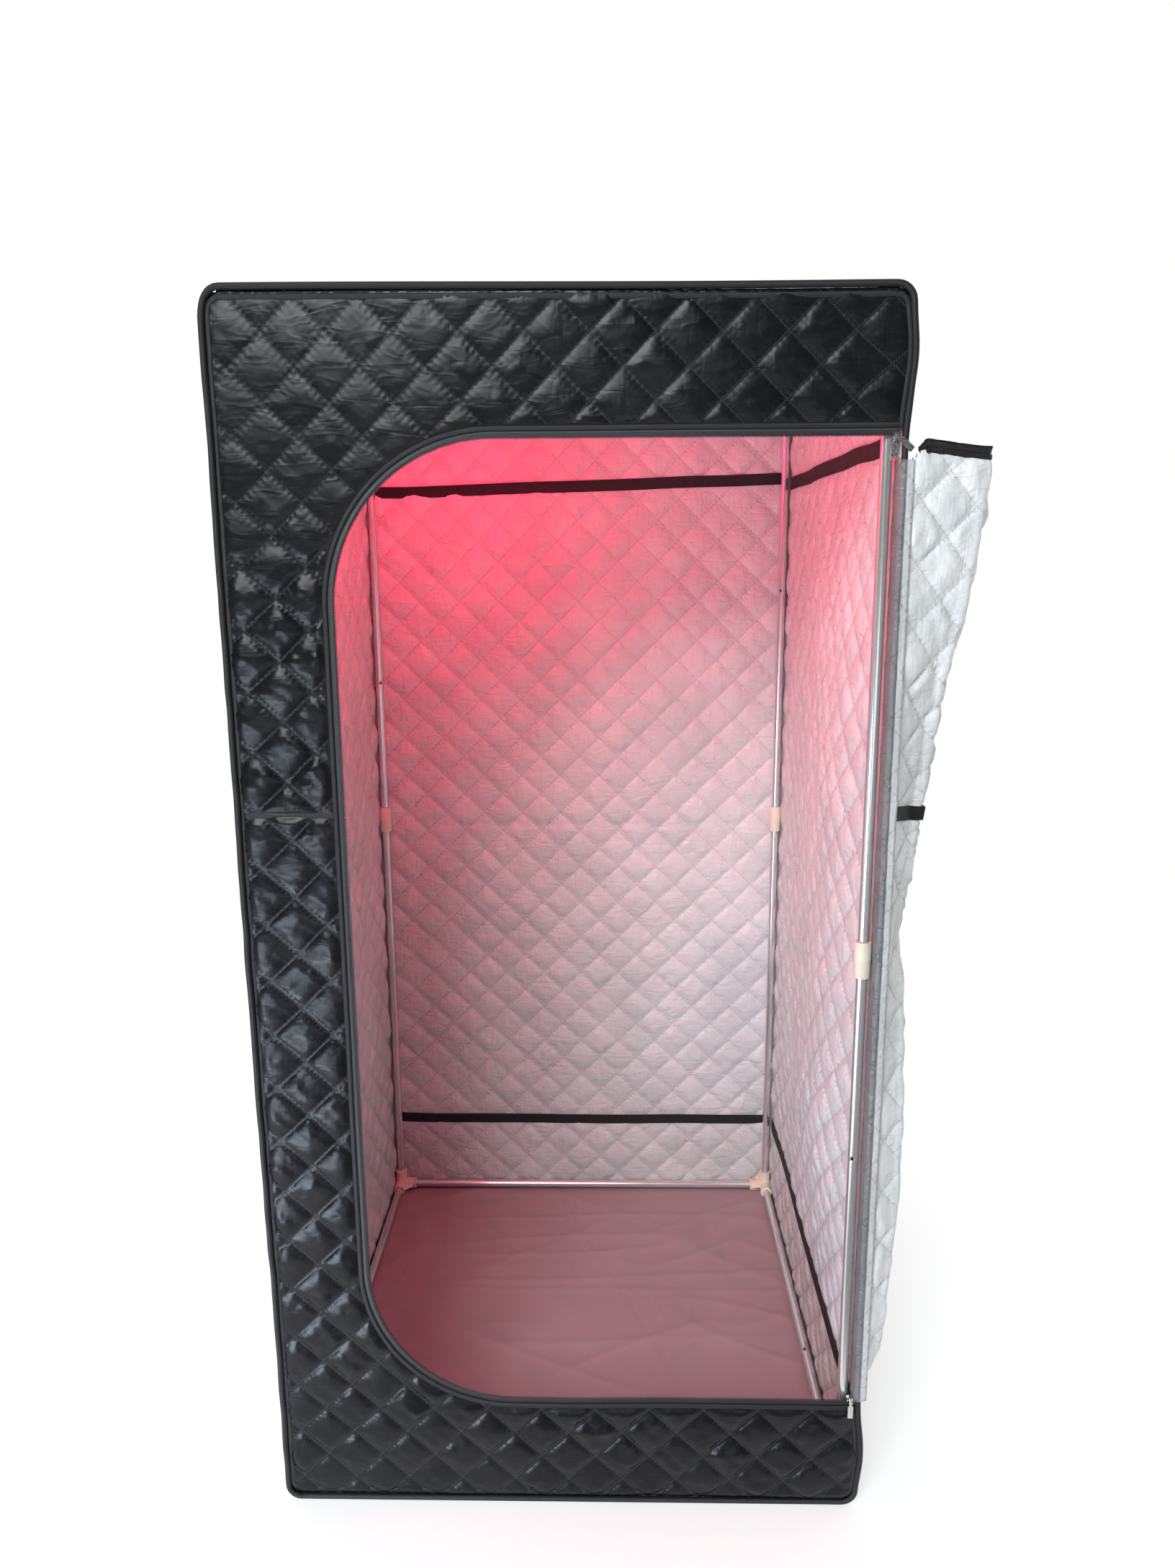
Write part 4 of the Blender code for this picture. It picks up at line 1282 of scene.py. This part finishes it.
def connector_mesh():
    """One corner connector: three sockets with rolled lips, a round core and a web between two of them."""
    lip = 0.003
    outside = [
        (0, -0.001), (SOCKET_R, -0.001), (SOCKET_R, SOCKET_REACH - lip),
        (SOCKET_LIP - 0.0003, SOCKET_REACH - lip + 0.0006),
        (SOCKET_LIP, SOCKET_REACH - 0.0008), (SOCKET_LIP - 0.0006, SOCKET_REACH), (0, SOCKET_REACH),
    ]
    bore = [(0, 0.010), (TUBE_R + 0.0003, 0.010), (TUBE_R + 0.0003, SOCKET_REACH - 0.0012),
            (TUBE_R + 0.0016, SOCKET_REACH + 0.0003), (TUBE_R + 0.0016, 0.05), (0, 0.05)]
    bm = bmesh.new()
    bmesh.ops.create_uvsphere(bm, u_segments=40, v_segments=20, radius=SOCKET_R + 0.0001)
    mesh = bpy.data.meshes.new("core")
    bm.to_mesh(mesh)
    bm.free()
    whole = link("core", mesh, ())
    arms, bores = [], []
    for axis in "xyz":
        for made, profile in ((arms, outside), (bores, bore)):
            part = solid_lathe("arm", profile)
            part.data.transform(AXIS_TURN[axis])
            made.append(part)
    web = bmesh.new()
    half, reach, toe = 0.002, 0.030, 0.011
    outline = [(0, 0), (reach, 0), (reach, toe), (toe, reach), (0, reach)]
    face = web.faces.new([web.verts.new((x, y, -half)) for x, y in outline])
    grown = bmesh.ops.extrude_face_region(web, geom=[face])
    moved = [g for g in grown["geom"] if isinstance(g, bmesh.types.BMVert)]
    bmesh.ops.translate(web, verts=moved, vec=(0, 0, 2 * half))
    bmesh.ops.recalc_face_normals(web, faces=web.faces[:])
    mesh = bpy.data.meshes.new("web")
    web.to_mesh(mesh)
    web.free()
    join_solids(whole, [*arms, link("web", mesh, ())], "UNION")
    join_solids(whole, bores, "DIFFERENCE")
    ease_edges = whole.modifiers.new("ease", "BEVEL")
    ease_edges.width, ease_edges.segments, ease_edges.limit_method = 0.0006, 2, "ANGLE"
    ease_edges.angle_limit = math.radians(40)
    apply_modifiers(whole)
    finished = whole.data.copy()
    bpy.data.objects.remove(whole)
    finished.shade_smooth()
    finished.set_sharp_from_angle(angle=math.radians(50))
    return finished


def build_connectors():
    """Each corner's sockets point inwards; the web lies flat between the first two axes of its order."""
    source = connector_mesh()
    for node in sorted(n for n in frame["nodes"] if "connector" in n):
        level, _, depth, side = node.split("_")
        low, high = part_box(node)
        into = {
            "x": (1 if side == "left" else -1, 0, 0),
            "y": (0, 1 if depth == "front" else -1, 0),
            "z": (0, 0, 1 if level == "base" else -1),
        }
        order = "xyz" if (depth, side) in (("back", "left"), ("front", "right")) else "xzy"
        turn = Matrix([into[axis] for axis in order]).transposed().to_4x4()
        centre = Vector((
            low.x + SOCKET_LIP if side == "left" else high.x - SOCKET_LIP,
            low.y + SOCKET_LIP if depth == "front" else high.y - SOCKET_LIP,
            low.z + SOCKET_LIP if level == "base" else high.z - SOCKET_LIP,
        ))
        mesh = source.copy()
        mesh.transform(Matrix.Translation(centre) @ turn)
        if turn.determinant() < 0:
            mesh.flip_normals()
        dressed(link(f"{node}_moulding", mesh, (CREAM,)), (node,))


def build_couplers():
    """Sleeves halfway up each upright, with a faint mould line round the middle and a flared mouth."""
    for node in sorted(n for n in frame["nodes"] if "coupler" in n):
        low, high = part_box(node)
        matrix, length = axis_matrix(low, high)
        r, bore, mouth = SOCKET_R, TUBE_R + 0.0003, 0.0012
        profile = [
            (bore + 0.0012, 0), (r - 0.0010, 0), (r - 0.0003, 0.0004), (r, 0.0012),
            (r, length / 2 - 0.0010), (r + 0.00015, length / 2 - 0.0004), (r + 0.00015, length / 2 + 0.0004),
            (r, length / 2 + 0.0010), (r, length - 0.0012), (r - 0.0003, length - 0.0004),
            (r - 0.0010, length), (bore + 0.0012, length), (bore, length - mouth), (bore, mouth),
        ]
        sleeve = lathe(f"{node}_sleeve", profile, 48, (CREAM,))
        sleeve.data.transform(matrix)
        dressed(sleeve, (node,))


# ---------------------------------------------------------------- zip hardware, port and lamp


def finish_node(node, material, bevel=None):
    """Keeps a CAD node whose shape is right, with a better material and eased edges."""
    piece = frame["nodes"][node]
    piece.data.materials.clear()
    piece.data.materials.append(material)
    if bevel:
        eased = piece.modifiers.new("ease", "BEVEL")
        eased.width, eased.segments, eased.limit_method = bevel, 2, "ANGLE"
        eased.angle_limit = math.radians(35)


def build_hardware():
    for node in frame["nodes"]:
        if node.startswith("zip_"):
            finish_node(node, NICKEL, 0.0003)
    finish_node("steam_port_grommet", BLACK_PLASTIC, 0.0004)
    finish_node("red_lamp_housing", BLACK_PLASTIC, 0.0006)
    finish_node("red_lamp_lens", LENS, 0.0003)


# ---------------------------------------------------------------- stage


def add_light(name, data, place):
    made = bpy.data.objects.new(name, data)
    bpy.context.scene.collection.objects.link(made)
    made.location = place
    made.visible_camera = False
    return made


def area_light(name, place, target, size, power, colour=(1, 1, 1)):
    data = bpy.data.lights.new(name, "AREA")
    data.shape, data.size, data.size_y = "RECTANGLE", size[0], size[1]
    data.energy, data.color = power, colour
    made = add_light(name, data, place)
    made.rotation_euler = (Vector(target) - Vector(place)).to_track_quat("-Z", "Y").to_euler()


def point_light(name, place, radius, power, colour):
    data = bpy.data.lights.new(name, "POINT")
    data.energy, data.color, data.shadow_soft_size = power, colour, radius
    add_light(name, data, place)


def build_world():
    """A studio sky that is dark in front of the object and pale behind it and to the camera."""
    world = bpy.data.worlds.new("studio")
    bpy.context.scene.world = world
    world.use_nodes = True
    nodes, links = world.node_tree.nodes, world.node_tree.links
    background = nodes["Background"]
    background.inputs["Color"].default_value = (1, 1, 1, 1)
    direction, axes = nodes.new("ShaderNodeTexCoord"), nodes.new("ShaderNodeSeparateXYZ")
    links.new(direction.outputs["Generated"], axes.inputs[0])
    behind = nodes.new("ShaderNodeMapRange")
    behind.interpolation_type = "SMOOTHSTEP"
    for name, value in (("From Min", -0.40), ("From Max", 0.20), ("To Min", 0.06), ("To Max", 1.0)):
        behind.inputs[name].default_value = value
    links.new(axes.outputs["Y"], behind.inputs["Value"])
    seen, pale_back = nodes.new("ShaderNodeLightPath"), nodes.new("ShaderNodeMath")
    pale_back.operation = "MAXIMUM"
    links.new(behind.outputs[0], pale_back.inputs[0])
    links.new(seen.outputs["Is Camera Ray"], pale_back.inputs[1])
    links.new(pale_back.outputs[0], background.inputs["Strength"])


def build_studio_floor():
    """A pale floor that fades to white, and reflects less in front, except to the camera."""
    bm = bmesh.new()
    bmesh.ops.create_grid(bm, x_segments=8, y_segments=8, size=60)
    mesh = bpy.data.meshes.new("studio_floor")
    bm.to_mesh(mesh)
    bm.free()
    pale = Finish("studio_floor", (0.86, 0.86, 0.86), 0.6)
    x, y = pale.split(pale.object_place())[:2]
    out = pale.math("SQRT", pale.math("ADD", pale.math("MULTIPLY", x, x), pale.math("MULTIPLY", y, y)))
    near = pale.ramp(out, 1, 0, 1.2, 4.5)
    patch = pale.math("MULTIPLY", pale.ramp(x, 1, 0, -0.45, -0.05), pale.ramp(y, 0, 1, -2.0, -1.3))
    far_off = pale.math("MULTIPLY", pale.math("SUBTRACT", 1, near), 0.3)
    lit = pale.math("MAXIMUM", pale.ramp(y, 0, 1, -0.85, -0.60), pale.math("MAXIMUM", far_off, patch))
    lit = pale.math("MAXIMUM", lit, pale.nodes.new("ShaderNodeLightPath").outputs["Is Camera Ray"])
    pale.set("Base Color", pale.blend(pale.math("MULTIPLY", near, pale.math("MULTIPLY_ADD", lit, 0.7, 0.3)),
                                      (0, 0, 0), (0.52, 0.52, 0.52)))
    pale.set("Specular IOR Level", 0.0)
    pale.set("Emission Color", (1, 1, 1, 1))
    pale.set("Emission Strength", pale.math("MULTIPLY", pale.ramp(out, 0.56, 1.0, 1.2, 4.5), lit))
    floor = link("studio_floor", mesh, (pale.material,))
    floor.location = (0, 0, -0.001)


def build_softboxes():
    area_light("key_softbox", (-1.35, -4.6, 3.9), (0, -0.2, 0.8), (2.5, 2.5), 235, (0.97, 0.985, 1.0))
    area_light("low_softbox", (-1.3, -2.4, 0.36), (-0.1, -0.45, 0.5), (1.1, 0.7), 24, (0.76, 0.87, 1.0))
    area_light("foot_softbox", (-0.9, -1.25, 0.12), (-0.35, -0.45, 0.30), (0.5, 0.35), 7, (0.76, 0.87, 1.0))
    area_light("front_fill", (0.5, -4.5, 0.7), (0.1, 0, 0.5), (2.0, 1.0), 9, (0.88, 0.93, 1.0))
    area_light("rear_softbox", (0.4, 3.4, 2.6), (0, 0, 1.0), (2.0, 1.6), 40)


def build_lamp_light():
    """The red light: one source just under the lamp's lens, and a stronger one nearer the front."""
    low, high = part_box("red_lamp_lens")
    middle = (low + high) / 2
    red = (1.0, 0.010, 0.080)
    point_light("lamp_glow", (middle.x, middle.y, low.z - 0.02), 0.03, 4.4, red)
    point_light("lining_glow", (-0.20, -0.33, 1.72), 0.05, 7.0, red)


def build_camera():
    yaw, pitch, roll = math.radians(-1.20), math.radians(11.80), math.radians(-0.37)
    ahead = Vector((math.sin(yaw) * math.cos(pitch), math.cos(yaw) * math.cos(pitch), -math.sin(pitch)))
    level = Vector((math.cos(yaw), -math.sin(yaw), 0))
    above = level.cross(ahead)
    right = level * math.cos(roll) + above * math.sin(roll)
    up = above * math.cos(roll) - level * math.sin(roll)
    data = bpy.data.cameras.new("camera")
    data.lens, data.sensor_width = 25.36, 36
    made = bpy.data.objects.new("camera", data)
    bpy.context.scene.collection.objects.link(made)
    turn = Matrix((right, up, -ahead)).transposed().to_4x4()
    made.matrix_world = Matrix.Translation((0.067, -1.925, 1.469)) @ turn
    bpy.context.scene.camera = made


build_camera()
build_world()
build_studio_floor()
build_softboxes()
build_lamp_light()
bpy.context.scene.view_settings.view_transform = "Standard"

walls = build_walls()
door = build_door_sheet()
floor_sheet = build_floor()
build_piping()
build_edge_bindings()
build_front_seam()
tapes = build_lining_tapes()
zips = build_zips()
cross_tape = build_cross_tape()
build_hinge_lining()
build_tubes()
build_connectors()
build_couplers()
build_hardware()
